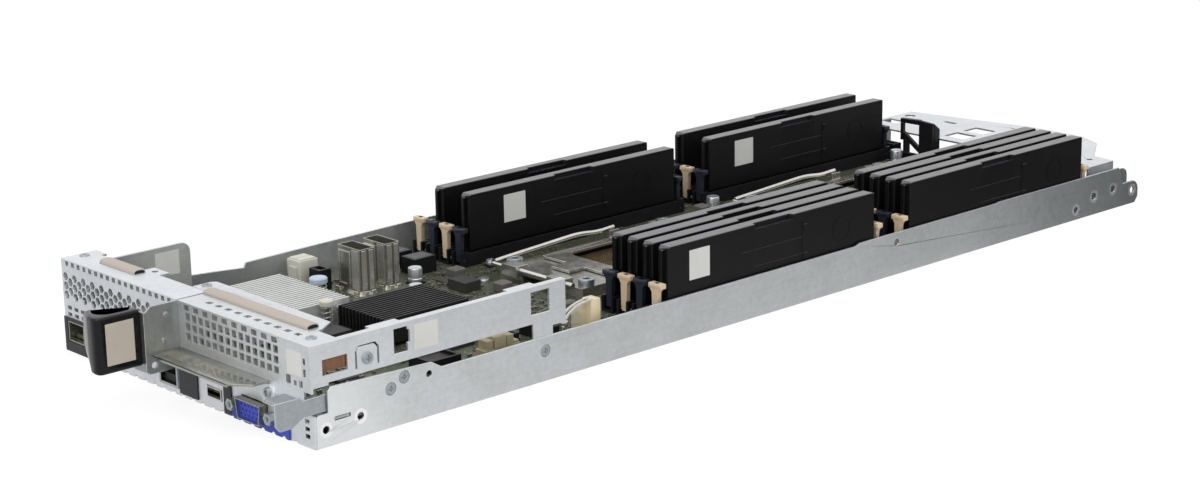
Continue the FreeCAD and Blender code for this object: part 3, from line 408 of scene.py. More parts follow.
def blank_finish(name, **values):
    """A material with its shader's own sockets set, and the object coordinates to draw with."""
    finish = bpy.data.materials.new(name)
    finish.use_nodes = True
    finishes.append(finish)
    tree = finish.node_tree
    shader = tree.nodes["Principled BSDF"]
    for key, value in values.items():
        shader.inputs[key.replace("_", " ").title().replace("Ior", "IOR")].default_value = value
    return finish, tree, shader, own_place(tree)


print("white paper", [round(v, 3) for v in tone(235, 235, 232)[:3]])

# %% [markdown]
# ## Metals
#
# The tray is steel with a thin layer of zinc. It isn't a mirror: it is pale grey, slightly
# cloudy at the size of a thumb, with fine lines from the rolling mill. One function makes every
# metal of the sled, with its own colour, roughness, cloudiness and line direction.

# %% Make the metals
def metal(name, dark, light, rough, metallic=0.85, lines="y", grain=1.5e-6):
    """Clouds of thumb and grain size blend the dark and the light tone; drawn-out noise gives lines."""
    finish, tree, shader, where = blank_finish(name, metallic=metallic, roughness=rough)
    stretch = {"x": (0.05, 1, 1), "y": (1, 0.05, 1), "z": (1, 1, 0.05)}[lines]
    big = cloud(tree, where, 45.0, detail=5.0, high=0.4)
    grains = cloud(tree, where, 420.0, detail=3.0, high=0.4)
    fine = cloud(tree, where, 1300.0, stretch=stretch, detail=1.0, high=0.2)
    blend = maths(tree, "ADD", maths(tree, "ADD", big, grains), fine)
    tree.links.new(mix(tree, blend, tone(*dark), tone(*light)), shader.inputs["Base Color"])
    tree.links.new(cloud(tree, where, 240.0, low=rough - 0.04, high=rough + 0.06), shader.inputs["Roughness"])
    relief(tree, shader, grains, grain)
    return finish


zinc = metal("zinc_sheet", (205, 208, 210), (226, 229, 232), 0.42)
zinc_wall = metal("zinc_wall", (196, 200, 201), (220, 224, 226), 0.46)
zinc_cage = metal("zinc_cage", (208, 211, 215), (228, 231, 235), 0.44, lines="x")
zinc_plate = metal("zinc_plate", (184, 187, 186), (206, 209, 207), 0.5)
side_zinc = metal("side_zinc", (184, 187, 186), (206, 209, 207), 0.5)
# Painted highlight: the paler zinc that the broken edges of the sheets take.
zinc_painted_highlight = metal("zinc_painted_highlight", (232, 234, 236), (246, 247, 248), 0.3)
io_zinc = metal("port_panel_zinc", (208, 211, 215), (228, 231, 235), 0.44, lines="x")
shelf_zinc = metal("shelf_zinc", (146, 147, 141), (178, 178, 170), 0.2, lines="x")
bracket_zinc = metal("bracket_zinc", (146, 149, 146), (174, 177, 174), 0.34, lines="z")
lever_zinc = metal("lever_zinc", (152, 158, 162), (180, 186, 189), 0.38)
copper = metal("copper", (122, 88, 68), (152, 112, 86), 0.35, lines="z")
screw_steel = metal("screw_steel", (176, 178, 178), (212, 214, 214), 0.3)
bright_steel = metal("bright_steel", (200, 198, 192), (228, 226, 220), 0.15, lines="x", metallic=1.0, grain=4e-7)
frame_steel = metal("frame_steel", (166, 164, 158), (196, 194, 188), 0.22, grain=4e-7)
# Painted highlight: the paler steel of the frames' broken edges and of the cable shells' pressed plates.
steel_painted_highlight = metal("steel_painted_highlight", (236, 234, 228), (248, 246, 242), 0.2, grain=4e-7)
nickel = metal("nickel", (150, 149, 138), (182, 181, 168), 0.2, lines="z")
brass_post = metal("brass_post", (160, 142, 96), (188, 168, 118), 0.35)
gold = metal("contact_gold", (112, 98, 72), (142, 124, 92), 0.4)
fin_silver = metal("fin_aluminium", (224, 225, 223), (240, 241, 239), 0.5, metallic=0.7)
fin_black = metal("black_fin", (22, 22, 22), (32, 32, 32), 0.45, metallic=0.3)
can_silver = metal("can_aluminium", (196, 198, 202), (222, 224, 228), 0.32)
solder = metal("solder", (128, 129, 124), (176, 177, 172), 0.4)
clip_brass = metal("clip_brass", (228, 216, 186), (250, 243, 224), 0.3, metallic=0.35)
print("metals", len(finishes))

# %% [markdown]
# ## Plastics, paper and cloth
#
# Moulded parts carry the fine pattern of their mould, a few hundredths of a millimetre deep.
# Black parts look grey where they are seen at a low angle, which the shader's Fresnel term gives
# by itself, so their own colour can stay very dark.

# %% Make the plastics
def plastic(name, colour, rough=0.4, spread=0.12, grain=6e-6, size=2600.0, **values):
    """One colour, a little lighter and darker in clouds, with the mould's grain as relief."""
    finish, tree, shader, where = blank_finish(name, roughness=rough, **values)
    c = np.array(tone(*colour)[:3])
    low, high = tuple(c * (1 - spread)) + (1.0,), tuple(np.minimum(c * (1 + spread), 1)) + (1.0,)
    tree.links.new(mix(tree, cloud(tree, where, 120.0, detail=4.0), low, high), shader.inputs["Base Color"])
    tree.links.new(cloud(tree, where, 300.0, low=rough - 0.04, high=rough + 0.05), shader.inputs["Roughness"])
    relief(tree, shader, cloud(tree, where, size, detail=2.0), grain)
    return finish


blank_black = plastic("blank_plastic", (14, 14, 16), 0.4, ior=1.3)
# Painted highlight: a paler, glossier black for the upward faces of the memory blanks.
blank_top_highlight = plastic("blank_plastic_painted_highlight", (44, 45, 51), 0.24, ior=1.95)
socket_black = plastic("black_plastic", (22, 22, 25), 0.42, ior=1.35)
gloss_black = plastic("black_gloss", (12, 12, 14), 0.16, grain=1e-6, ior=1.36)
port_black = plastic("port_plate_black", (34, 35, 39), 0.4, ior=1.4)
slate_plastic = plastic("slate_latch", (38, 41, 54), 0.38)
cream_plastic = plastic("latch_plastic", (224, 202, 172), 0.45, spread=0.05)
nylon = plastic("natural_nylon", (212, 210, 198), 0.5, spread=0.04, subsurface_weight=0.25,
                subsurface_scale=0.003, subsurface_radius=(1.0, 0.95, 0.8))
clip_cream = plastic("clip_cream", (228, 214, 176), 0.35)
cream_riser = plastic("cream_riser", (178, 168, 134), 0.5, spread=0.06)
blue_plastic = plastic("blue_plastic", (40, 62, 180), 0.4, spread=0.06)
chip_black = plastic("chip_black", (48, 48, 47), 0.55)
chip_grey = plastic("chip_grey", (96, 94, 90), 0.55)
lid_grey = plastic("lid_grey", (74, 80, 80), 0.5)
tan_part = plastic("tan_capacitor", (104, 94, 76), 0.5)
cap_blue = plastic("cap_blue", (188, 204, 220), 0.4, spread=0.04)
tan_label = plastic("tan_label", (196, 186, 172), 0.6, spread=0.04, grain=3e-6)
white_label = plastic("white_label", (222, 222, 218), 0.6, spread=0.03, grain=3e-6)
print("metals and plastics", len(finishes))

# %% [markdown]
# ## The circuit board's green
#
# Under the solder mask run copper tracks, mostly along x and y, and between them lie plated
# holes. Two brick patterns at right angles make the tracks and a cell pattern makes the holes.
# Both only change colour and height by a hair, as the mask does on the real board.

# %% Make the board and the cloth
board_green, tree, shader, where = blank_finish("board_green", roughness=0.42)


def tracks(at, scale, gap, height, width, level):
    """Bricks between black and a grey level, whose white mortar is the track."""
    return put(tree, "TexBrick", {"Vector": at, "Scale": scale, "Mortar Size": gap, "Row Height": height,
                                  "Brick Width": width, "Color1": (0, 0, 0, 1),
                                  "Color2": (level, level, level, 1), "Mortar": (1, 1, 1, 1)}).outputs["Color"]


flat = put(tree, "Mapping", {"Vector": where, "Scale": (1, 1, 0)}).outputs["Vector"]
crosswise = put(tree, "Mapping", {"Vector": where, "Rotation": (0, 0, 1.5708), "Scale": (1, 1, 0)}).outputs["Vector"]
nets = mix(tree, cloud(tree, flat, 60.0, detail=1.0), tracks(flat, 160.0, 0.03, 0.16, 2.2, 0.3),
           tracks(crosswise, 110.0, 0.025, 0.2, 1.4, 0.4))
cells = put(tree, "TexVoronoi", {"Vector": flat, "Scale": 420.0}).outputs["Distance"]
mask = mix(tree, nets, tone(52, 58, 44), tone(84, 90, 68))
tree.links.new(mix(tree, maths(tree, "LESS_THAN", cells, 0.2), mask, tone(128, 124, 96)),
               shader.inputs["Base Color"])
relief(tree, shader, nets, 1.5e-5)

cloth, tree, shader, where = blank_finish("gasket_cloth", roughness=0.5, metallic=0.25)
warp, weft = [put(tree, "TexWave", {"Vector": where, "Scale": 420.0}, wave_type="BANDS",
                  bands_direction=way).outputs["Fac"] for way in "XY"]
weave = maths(tree, "MULTIPLY", warp, weft)
threads = mix(tree, weave, tone(172, 166, 158), tone(204, 198, 191))
worn = cloud(tree, where, 70.0, stretch=(0.3, 1, 1), detail=4.0)
tree.links.new(mix(tree, worn, threads, tone(190, 178, 168)), shader.inputs["Base Color"])
relief(tree, shader, weave, 5e-5)
print("all finishes", len(finishes))

# %% [markdown]
# ## Dress the solids that keep their shape
#
# Bent and punched sheet, the board, the sockets and the port shells are right as they came from
# CAD. They only need their finish. The triangles of a CAD mesh are loose, so a live weld joins
# them and a live bevel breaks their edges by a fraction of a millimetre. On the zinc sheets and
# the processor frames the bevel takes a paler metal, a painted highlight along each broken edge.

# %% Give every carried-over node its finish
# Each row: finish, bevel width in millimetres, paler finish for a painted edge highlight, names of the nodes.
dressing = [
    (zinc_wall, 0.12, zinc_painted_highlight, "base_tray"), (io_zinc, 0.1, zinc_painted_highlight, "front_io_plate"),
    (zinc_cage, 0.1, zinc_painted_highlight, "left_vent_cage"), (side_zinc, 0.15, zinc_painted_highlight, "left_side_plate"),
    (zinc, 0.12, zinc_painted_highlight, "right_riser_cage rear_deck"), (bracket_zinc, 0.12, zinc_painted_highlight, "handle_bracket"),
    (lever_zinc, 0.12, zinc_painted_highlight, "release_lever"),
    (frame_steel, 0.12, steel_painted_highlight, "cpu_socket_frames load_plate_front load_plate_rear"),
    (zinc, 0.1, None, "deck_roll"), (zinc_plate, 0.1, None, "lever_anchor_plate"),
    (lever_zinc, 0.12, None, "rear_bracket"), (lever_zinc, 0.1, None, "video_jackscrews"),
    (copper, 0, None, "copper_ground_finger"), (brass_post, 0, None, "board_standoffs"),
    (screw_steel, 0.1, None, "board_screws"), (bright_steel, 0.05, None, "usb_port"),
    (nickel, 0.05, None, "pluggable_port_cage"), (nickel, 0.08, None, "video_shell"),
    (fin_silver, 0.08, None, "silver_heatsink"), (fin_black, 0.08, None, "black_heatsink"),
    (socket_black, 0.15, None, "board_connectors cpu_socket_bases memory_sockets_right memory_sockets_left"),
    (socket_black, 0.06, None, "network_jack"), (port_black, 0.06, None, "black_port_plates"),
    (blue_plastic, 0.08, None, "video_insert blue_port_plate"), (chip_black, 0.12, None, "board_chips"),
    (board_green, 0, None, "motherboard"), (tan_label, 0.05, None, "handle_label"),
    (white_label, 0, None, "paper_labels"),
]


def break_edges(node, width, edge_highlight_finish):
    """Weld the loose triangles, then bevel every edge that turns by more than forty degrees."""
    weld = node.modifiers.new("weld", "WELD")
    weld.merge_threshold = 1e-5
    bevel = node.modifiers.new("bevel", "BEVEL")
    bevel.width = width * mm
    bevel.segments = 1
    bevel.limit_method = "ANGLE"
    bevel.angle_limit = np.radians(40)
    bevel.harden_normals = True
    # The bevel's faces take the paler finish: a painted highlight on the broken edges.
    if edge_highlight_finish:
        node.data.materials.append(edge_highlight_finish)
        bevel.material = 1


for finish, width, edge_highlight_finish, names in dressing:
    for name in names.split():
        nodes[name].data.materials.clear()
        nodes[name].data.materials.append(finish)
        if width:
            break_edges(nodes[name], width, edge_highlight_finish)
print("dressed", sum(len(row[3].split()) for row in dressing), "nodes")

# %% [markdown]
# ## The pull handle
#
# The handle is one glossy moulding: a flat face for a thumb and a lip that curls round in front
# for the fingers. Its plan is a closed outline, carried upwards. The lip's lower corner is cut
# to a large radius, so the points of the lip are drawn towards the arm by a circle's formula.

# %% Mould the handle
grip_low, grip_top, grip_edge, corner_r, middle_rings = 16.3, 39.2, 0.9, 9.5, 26
plan = [(-2.0, -16.0), (-2.0, -34.2), (-3.2, -35.7), (-5.4, -36.0), (-9.6, -35.3), (-18.0, -31.9), (-18.9, -30.8),
        (-18.4, -29.6), (-17.2, -29.4), (-11.6, -31.4), (-8.4, -31.2), (-6.4, -29.4), (-5.6, -26.6), (-5.4, -19.4),
        (-8.6, -18.4), (-8.6, -16.0)]
quarter = np.linspace(0, np.pi / 2, 5)
drawn_in = grip_edge * (1 - np.sin(quarter))
bottom_z = grip_low + grip_edge * (1 - np.cos(quarter))
middle_z = np.linspace(grip_low + 2 * grip_edge, grip_top - 2 * grip_edge, middle_rings)
ring_z = np.concatenate([bottom_z, middle_z, (grip_top + grip_low - bottom_z)[::-1]])
ring_in = np.concatenate([drawn_in, np.zeros(middle_rings), drawn_in[::-1]])
verts, faces = loft(tiers(anticlockwise(soften(plan, 1.4, 5)), ring_in, ring_z))
under = grip_low + corner_r - np.minimum(verts[:, 2], grip_low + corner_r)
low_reach = -9.4 - np.sqrt(np.clip(corner_r ** 2 - under ** 2, 0, None))
top_reach = -18.9 + 3.0 * np.clip((verts[:, 2] - (grip_top - 2.4)) / 2.4, 0, 1) ** 2
reach = np.maximum(low_reach, top_reach)
lip = (verts[:, 0] < -8.0) & (verts[:, 1] < -24)
verts[lip, 0] = -8.0 + (verts[lip, 0] + 8.0) * (reach[lip] + 8.0) / -10.9
show("handle_moulding", (verts, faces), gloss_black, sharp=50, stands_for=["pull_handle"])
print("handle points", len(verts))

# %% [markdown]
# ## The shelf over the ports
#
# A bright strip of sheet keeps cables off the grille. Its front edge turns down a little and its
# right end is cut aslant to clear the video plug. It is nearly a mirror, dulled where plugs and
# fingers have touched it, so its finish blends to a paler tone over one long patch.

# %% Cut the shelf
shelf_plan = soften([(0.1, -0.1), (0.1, -13.6), (51.5, -13.6), (59.6, -7.4), (59.6, -0.1)], 0.5, 3)
shelf_lip = prism([(-13.6, 19.3), (-12.9, 19.3), (-12.9, 20.4), (-13.6, 20.6)], 0.8, 51.2, "x", 0.15)
tree = shelf_zinc.node_tree
along_y = own_axis(tree, "Y")
patch = maths(tree, "MULTIPLY", span(tree, along_y, front_y - 0.0108, front_y - 0.0094),
              span(tree, own_axis(tree, "X"), 0.042, 0.03))
patch = maths(tree, "MULTIPLY", patch, span(tree, along_y, front_y - 0.0035, front_y - 0.005))
smudges = cloud(tree, own_place(tree), 260.0, stretch=(1, 0.4, 1), high=0.8)
lay_over(shelf_zinc, maths(tree, "MULTIPLY", patch, smudges), (236, 226, 204))
show("port_shelf", merge([prism(shelf_plan, 20.0, 20.9, "z", 0.25, 2), shelf_lip]), shelf_zinc,
     stands_for=["connector_shelf"])
print("shelf corners", len(shelf_plan))

# %% [markdown]
# ## Conductive gaskets
#
# Between the cage and the chassis lies a strip of foam wrapped in metal-coated cloth, which keeps
# radio noise in. It has a low D-shaped section, and its cut ends show the dark foam. A section is
# swept along x, and the foam is a slightly smaller plug that stands out of each end.

# %% Lay the gaskets on the cages
arch = np.linspace(0, np.pi, 15)
d_section = np.column_stack([3.2 * np.sign(np.cos(arch)) * np.abs(np.cos(arch)) ** 0.8, 1.7 * np.sin(arch) ** 0.7])
d_section = np.concatenate([d_section, [[-3.267, 0.0]]])


def strip(x0, x1, y, scale=1.0):
    """The D section at y, from x0 to x1; its ends draw in over the last half millimetre."""
    x = np.array([x0, x0 + 0.25, x0 + 0.8, x1 - 0.8, x1 - 0.25, x1])
    pinch = np.array([0.86, 0.96, 1.0, 1.0, 0.96, 0.86]) * scale
    rings = np.stack([np.column_stack([y + d_section[:, 0] * k, cage_top + 0.02 + d_section[:, 1] * k,
                                       np.full(len(d_section), a)]) for a, k in zip(x, pinch)])
    return loft(stand(rings, "x"))


gasket_runs = [(-69.0, -43.5, 10.3), (-0.5, 68.0, 15.0)]
show("gasket_sleeves", merge([strip(a, b, y) for a, b, y in gasket_runs]), cloth,
     sharp=60, stands_for=["conductive_gaskets"])
foam = merge([strip(e - 0.35, e + 0.35, y, 0.72) for a, b, y in gasket_runs for e in (a, b)])
show("gasket_foam", foam, socket_black, sharp=60)
print("gaskets", len(gasket_runs))

# %% [markdown]
# ## Memory blanks
#
# Empty slots get a plastic blade with a thick body, so that the cooling air can't escape through
# them. Seen from above a blank is a flat pale line that narrows at its waist. The body is one
# cross section carried along the blank: its top is cut aslant at both ends and its upper right
# corner steps in at the waist. Thin ribs stand on the face, and every face that looks upwards
# takes a paler, glossier black, a painted highlight on the tops.

# %% Mould one blank and repeat it
slot_half, row_middle = 66.675, np.array([249.6, 404.4])
right_slots = 82.0 - 9.4 * np.arange(4)
left_slots = -46.5 - 9.4 * np.arange(4)
# Stations along the blank: y, half width, right side's x, height, height on the left.
tips = [(65.1, 2.72, 2.7, 40.1, 38.9), (64.8, 3.0, 2.99, 40.5, 39.3), (63.8, 3.0, 2.99, 40.8, 40.8)]
waist = [(y, 3.0, x, 40.8, 40.8) for y, x in ((-13.0, 2.99), (-12.2, 0.9), (10.4, 0.9), (11.2, 2.99))]
stations = [(-y, *rest) for y, *rest in tips] + waist + tips[::-1]


def body_ring(y, half, right_x, top, far):
    """The cross section at y: a tall box, with a ledge at its upper right and its own height at its left."""
    ledge = min(38.4, top - 0.6)
    ring = [(-half, 15.0), (half, 15.0), (half, ledge), (right_x, ledge + 0.05), (right_x, top - 0.22),
            (right_x - 0.22, top), (0.22 - half, far), (-half, far - 0.22)]
    return [(z, x, y) for x, z in ring[::-1]]


blade = prism(rectangle(-66.6, 10.5, 66.6, 39.4), -0.7, 0.7, "x")
body = loft(stand(np.array([body_ring(*row) for row in stations]), "y"))
ribs = boxes([(3.0, 17.0, 18.0, 3.16, 17.6, 37.0), (3.0, -22.0, 29.0, 3.16, 17.0, 29.5),
              (3.0, -14.0, 21.5, 3.16, 17.0, 22.0), (3.0, 17.8, 32.5, 3.3, 20.4, 35.0),
              (3.0, 17.8, 19.5, 3.3, 20.4, 22.0), (-3.2, -58.0, 17.0, -3.0, 58.0, 17.6),
              (-3.2, -58.0, 35.6, -3.0, 58.0, 36.2), (-3.2, -20.0, 18.0, -3.0, -19.4, 36.0),
              (-3.2, 22.0, 18.0, -3.0, 22.6, 36.0)], 0.08)
ring = turned([(5.2, 2.9), (5.2, 3.12), (5.5, 3.16), (5.8, 3.12), (5.8, 2.9)], (0, 43.0, 28.0), "x", 40)
one_blank = merge([body, blade, ribs, ring])
# The blanks' upward faces take the paler plastic as a painted highlight.
for bank, slots in (("right", right_slots), ("left", left_slots[[0, 2]])):
    spots = [(x, y, 0) for y in row_middle for x in slots]
    show("blanks_" + bank, repeat(one_blank, spots), blank_black, sharp=30,
         stands_for=["memory_blanks_" + bank], top_highlight_finish=blank_top_highlight)
    print("blanks", bank, len(spots), "points each", len(one_blank[0]))

# %% [markdown]
# ## Ejector latches
#
# Each memory socket has a tilting latch at both ends, a stem with a T-shaped head to press on.
# Two colours mark the order in which the slots are filled. The four latches of one bank end tilt
# together in the CAD model, so the cream and the dark ones are two pieces on one moving body.

# %% Mould the latches
stem_view = [(-1.7, 11.6), (1.7, 11.6), (1.9, 21.8), (2.9, 23.2), (2.9, 23.8), (-2.9, 23.8), (-2.9, 23.2),
             (-1.9, 21.8)]
head_view = soften([(-3.8, 23.5), (3.8, 23.5), (3.7, 25.7), (-3.7, 25.7)], 0.35, 3)


def latch(end):
    """Stem, T head and thumb ridge, drawn about the slot's middle; end is -1 at the front."""
    pivot = end * (slot_half + 2.2)
    s0, s1 = sorted([pivot - end * 1.0, pivot + end * 1.3])
    h0, h1 = sorted([end * (slot_half + 0.2), end * (slot_half + 3.6)])
    return merge([prism(soften(stem_view, 0.35, 2), s0, s1, "y"), prism(head_view, h0, h1, "y", 0.3, 2),
                  boxes([(-1.0, h0 + 0.8, 25.6, 1.0, h1 - 0.8, 25.7)], 0.03),
                  turned([(0.75, -3.2), (0.75, 3.2)], (0, pivot, 10.7), "x", 16),
                  boxes([(-1.6, s0 + 0.1, 9.6, 1.6, s1 - 0.1, 12.2)], 0.3)])


for row, y in zip(("front", "rear"), row_middle):
    for bank, slots, first_cream in (("right", right_slots, 0), ("left", left_slots, 1)):
        for tag, end in (("a", -1), ("b", 1)):
            name = "latches_%s_%s_%s" % (row, bank, tag)
            for colour, finish, first in (("cream", cream_plastic, first_cream),
                                          ("dark", slate_plastic, 1 - first_cream)):
                spots = [(x, y, 0) for x in slots[first::2]]
                show(name + "_" + colour, repeat(latch(end), spots), finish, name, stands_for=[name])
print("latches at each bank end", len(right_slots))

# %% [markdown]
# ## Processor socket wires
#
# Each processor is clamped by two spring-wire levers. A wire is a circle swept along a path whose
# bends are soft, since 2.4 mm wire can't turn a sharp corner.

# %% Bend the lever wires
cpu_x, cpu_y = 4.6, row_middle - 12.6


def lever_path(cy, side, end):
    """Bar across the frame, arm along it with a kick near its tip, as the CAD lever runs."""
    bar, arm = cy + end * 56.0, cpu_x + side * 29.6
    bend, tip = bar - end * 53.0, bar - end * 76.0
    knots = [(cpu_x - side * 25.0, bar, 13.6), (arm, bar, 13.6), (arm, bend, 16.4), (arm, bend - end * 12.0, 15.0),
             (arm + side * 1.2, tip, 15.2)]
    return soften(knots, [3.0, 3.4, 7.0, 5.0, 3.0], 10, closed=False)


for row, cy in zip(("front", "rear"), cpu_y):
    for tag, side, end in (("left", -1, -1), ("right", 1, 1)):
        name = "load_lever_%s_%s" % (row, tag)
        show(name + "_wire", swept(lever_path(cy, side, end), circle(1.2, 14)), bright_steel, name,
             stands_for=[name], sharp=60)
        print(name, "bar at y", round(cy + end * 56.0, 1))

# %% [markdown]
# ## Contact fields
#
# Inside each socket stand more than a thousand gold springs, seen as a brown haze. Each is a
# tiny pyramid here, with four sloping faces, on a grid with an empty patch in the middle.

# %% Plant the socket contacts
gx, gy = [a.ravel() for a in np.meshgrid(np.arange(-19.2, 19.3, 1.2), np.arange(-22.4, 22.5, 1.28))]
keep = (np.abs(gx) > 6.2) | (np.abs(gy) > 7.0)
pin = (np.array([(-0.36, -0.36, 0), (0.36, -0.36, 0), (0.36, 0.36, 0), (-0.36, 0.36, 0), (0.2, 0.1, 0.7)]),
       [np.array([[0, 1, 4], [1, 2, 4], [2, 3, 4], [3, 0, 4]]), np.array([[3, 2, 1, 0]])])
for row, cy in zip(("front", "rear"), cpu_y):
    spots = np.column_stack([cpu_x + gx[keep], cy + gy[keep], np.full(keep.sum(), 9.12)])
    show("contacts_" + row, repeat(pin, spots), gold)
print("contacts per socket", int(keep.sum()))

# %% [markdown]
# ## Cans and push pins
#
# A capacitor is an aluminium can on a square plastic foot, with a groove where its seal is
# crimped and a rolled rim. The heat sinks are held by push pins, a head on a coil spring. Both
# are turned profiles, and the coil is a thin wire swept along a helix.

# %% Turn the capacitors and the pins
# Middle x and y, radius, top.
cans = [(-39.6, 149.0, 3.2, 15.0), (-28.0, 140.0, 3.2, 11.4), (30.0, 132.0, 3.2, 15.0), (-36.0, 190.0, 2.2, 11.0),
        (42.0, 300.0, 3.2, 15.0), (-34.0, 331.8, 3.2, 15.0), (-34.0, 469.8, 3.2, 15.0), (44.0, 461.8, 3.2, 15.0)]


def can_wall(x, y, r, top):
    """The can's profile: seal, crimp groove, wall and rolled rim round a flat top."""
    profile = [(r - 0.5, 8.5), (r - 0.1, 8.8), (r, 9.2), (r, 9.9), (r - 0.35, 10.3), (r, 10.7), (r, top - 0.5),
               (r - 0.15, top - 0.15), (r - 0.5, top), (r - 0.8, top - 0.12)]
    return turned(profile, (x, y, 0), n=28)


feet = boxes([(x - r, y - r, board_top, x + r, y + r, 8.6) for x, y, r, top in cans], 0.5)
show("can_feet", feet, socket_black)
show("capacitor_cans", merge([can_wall(*row) for row in cans]), can_silver,
     stands_for=["capacitors"])


def push_pin(x, y, r, top, head, head_finish):
    """Turned head and stalk, and a coil of five turns between the head and the sink's base."""
    cap_profile = [(r * 0.5, top - 2.6), (r, top - 2.4), (r, top - 0.6), (r - 0.4, top - 0.1), (r - 0.9, top)]
    stalk = turned([(1.0, 8.0), (1.0, top - 2.0)], (x, y, 0), n=14)
    a = np.linspace(0, 2 * np.pi * 5, 120)
    coil = np.column_stack([x + (r - 0.6) * np.cos(a), y + (r - 0.6) * np.sin(a), 9.0 + (top - 11.8) * a / a[-1]])
    show(head + "_pin_head", turned(cap_profile, (x, y, 0), n=24), head_finish)
    return merge([stalk, swept(coil, circle(0.32, 6))])


pins = [push_pin(-43.6, 99.0, 4.0, 20.0, "blue", cap_blue), push_pin(-6.8, 76.0, 3.0, 22.4, "cream", nylon),
        push_pin(-6.8, 84.0, 2.4, 18.4, "grey", can_silver)]
show("pin_springs", merge(pins), solder, sharp=50)
print("cans", len(cans), "push pins", len(pins))

# %% [markdown]
# ## Cable connector shells
#
# Two tall nickel shells stand on the board for the cables to the drives. Each is a thin tube that
# flares into a foot and is open on top, with a dark core inside: rings up the outside and down the
# inside are joined in a closed loop. The pressed frame round each window, the folded seams and the
# soldered tails are thin plates.

# %% Bend the shells and add their pressed details
def tube(plan, z0, z1, wall, foot):
    """A box tube on a plan: its outer outline flares by foot at the base, its inner one is wall smaller."""
    outline = soften(rectangle(*plan), 0.7, 3)
    draws = [-foot, -foot * 0.8, -foot * 0.2, 0, 0, 0.12, wall - 0.1, wall, wall]
    heights = [z0, z0 + 0.4, z0 + 1.6, z0 + 2.3, z1 - 0.12, z1, z1, z1 - 0.12, z0]
    verts, faces = loft(tiers(outline, draws, heights), caps=False)
    j = np.arange(len(outline))
    k, last = (j + 1) % len(outline), (len(heights) - 1) * len(outline)
    return verts, faces + [np.stack([last + j, last + k, k, j], 1)]


shell_rows = ((119.4, 127.8), (133.4, 141.6))
shells = [tube((-56.6, y0, -40.6, y1), board_top, 28.3, 0.5, 0.9) for y0, y1 in shell_rows]
cores = [pillar((-55.4, y0 + 1.6, -42.6, y1 - 1.6), 7.6, 24.3, 0.5, 2, 0.3) for y0, y1 in shell_rows]
show("cable_shells", merge(shells), nickel, stands_for=["cable_connectors"])
show("cable_cores", merge(cores), socket_black, stands_for=["cable_connectors"])
plates = []
for y0, y1 in shell_rows:
    # Rows: the window's frame, the seams, the soldered tails.
    plates += [
        (-55.8, y0 - 0.25, 10.8, -50.6, y0, 11.6), (-55.8, y0 - 0.25, 25.6, -47.4, y0, 26.4),
        (-55.8, y0 - 0.25, 11.6, -55.0, y0, 25.6), (-48.2, y0 - 0.25, 11.6, -47.4, y0, 25.6),
        (-46.4, y0 - 0.2, 9.8, -41.2, y0, 27.6), (-40.6, y0 + 1.0, 9.8, -40.35, y0 + 3.6, 27.6),
        (-40.6, y1 - 3.4, 9.8, -40.35, y1 - 1.0, 27.6), (-57.7, y0 - 1.2, board_top, -54.4, y0 - 0.7, 9.4),
        (-44.4, y0 - 1.2, board_top, -41.4, y0 - 0.7, 9.4), (-39.8, y0 + 1.2, board_top, -39.3, y0 + 3.6, 9.4),
        (-39.8, y1 - 3.0, board_top, -39.3, y1 - 0.8, 9.4),
    ]
# The plates take the pale steel of the painted edge highlight.
show("shell_plates", boxes(plates, 0.08), steel_painted_highlight)
print("shell plates", len(plates))

# %% [markdown]
# ## The nylon power connector
#
# Natural nylon lets a little light in, which its finish does with a small share of subsurface
# scattering. The block has two flat keys on top and one on its front.

# %% Mould the power connector
nylon_parts = [pillar((-80.2, 108.6, -70.2, 118.6), board_top, 19.4, 0.6, 3, 0.3, 2),
               boxes([(-79.4, 109.4, 19.2, -75.5, 117.8, 20.0), (-74.9, 109.4, 19.2, -71.0, 117.8, 20.0),
                      (-78.0, 107.9, 9.0, -72.4, 108.7, 16.5)], 0.25)]
show("nylon_connector", merge(nylon_parts), nylon, stands_for=["power_connector"])
print("nylon parts", len(nylon_parts))

# %% [markdown]
# ## The spring clip
#
# On the right of the board a bright strap arches up to a cream post and touches the plate above
# to ground it. It rises from its foot, turns over a rounded nose and arches on: its two edges are
# swept along a quarter of an ellipse. A polished cheek stands inside the arch, cut to its curve.

# %% Bend the clip
a = np.linspace(0.1, np.pi / 2, 20)
arc = np.column_stack([0 * a, 145.6 - 15.0 * np.cos(a), 18.8 + 7.0 * np.sin(a)])
strap_path = np.concatenate([[(0, 130.2, 8.4), (0, 130.2, 12.0), (0, 130.4, 17.0)], arc])
rails = [swept(strap_path + (x, 0, 0), rectangle(-0.35, -0.5, 0.35, 0.5), (1, 0, 0)) for x in (78.0, 80.4)]
nose_profile = [(0.6, -2.4), (1.5, -2.1), (1.9, -1.2), (1.9, 1.2), (1.5, 2.1), (0.6, 2.4)]
nose = turned(nose_profile, (79.0, 130.6, 18.8), "x", 20)
clip_foot = boxes([(73.2, 124.4, board_top, 81.0, 130.8, 8.1)], 0.15)
show("clip_strap", merge(rails + [nose, clip_foot]), bright_steel, stands_for=["spring_clip"])
cheek = soften([(137.0, 12.0), (145.2, 12.0), (145.2, 25.4), (141.4, 25.0), (138.4, 23.6), (137.0, 21.0)], 1.6, 4)
show("clip_cheek", prism(cheek, 76.8, 77.4, "x", 0.15), clip_brass)
post = pillar((75.2, 144.6, 81.0, 149.9), board_top, 25.8, 0.5, 3, 0.4, 2)
show("clip_post", post, clip_cream)
print("clip path points", len(strap_path))

# %% [markdown]
# ## The small parts of the board
#
# Hundreds of resistors, capacitors and little chips cover a server board. They sit on a grid in
# the free areas, in rows with the same turn, so a seeded draw picks cells of a grid of 2.2 by
# 2 mm and drops those that lie under a bigger part.

# %% Scatter the small parts
rng = np.random.default_rng(12)
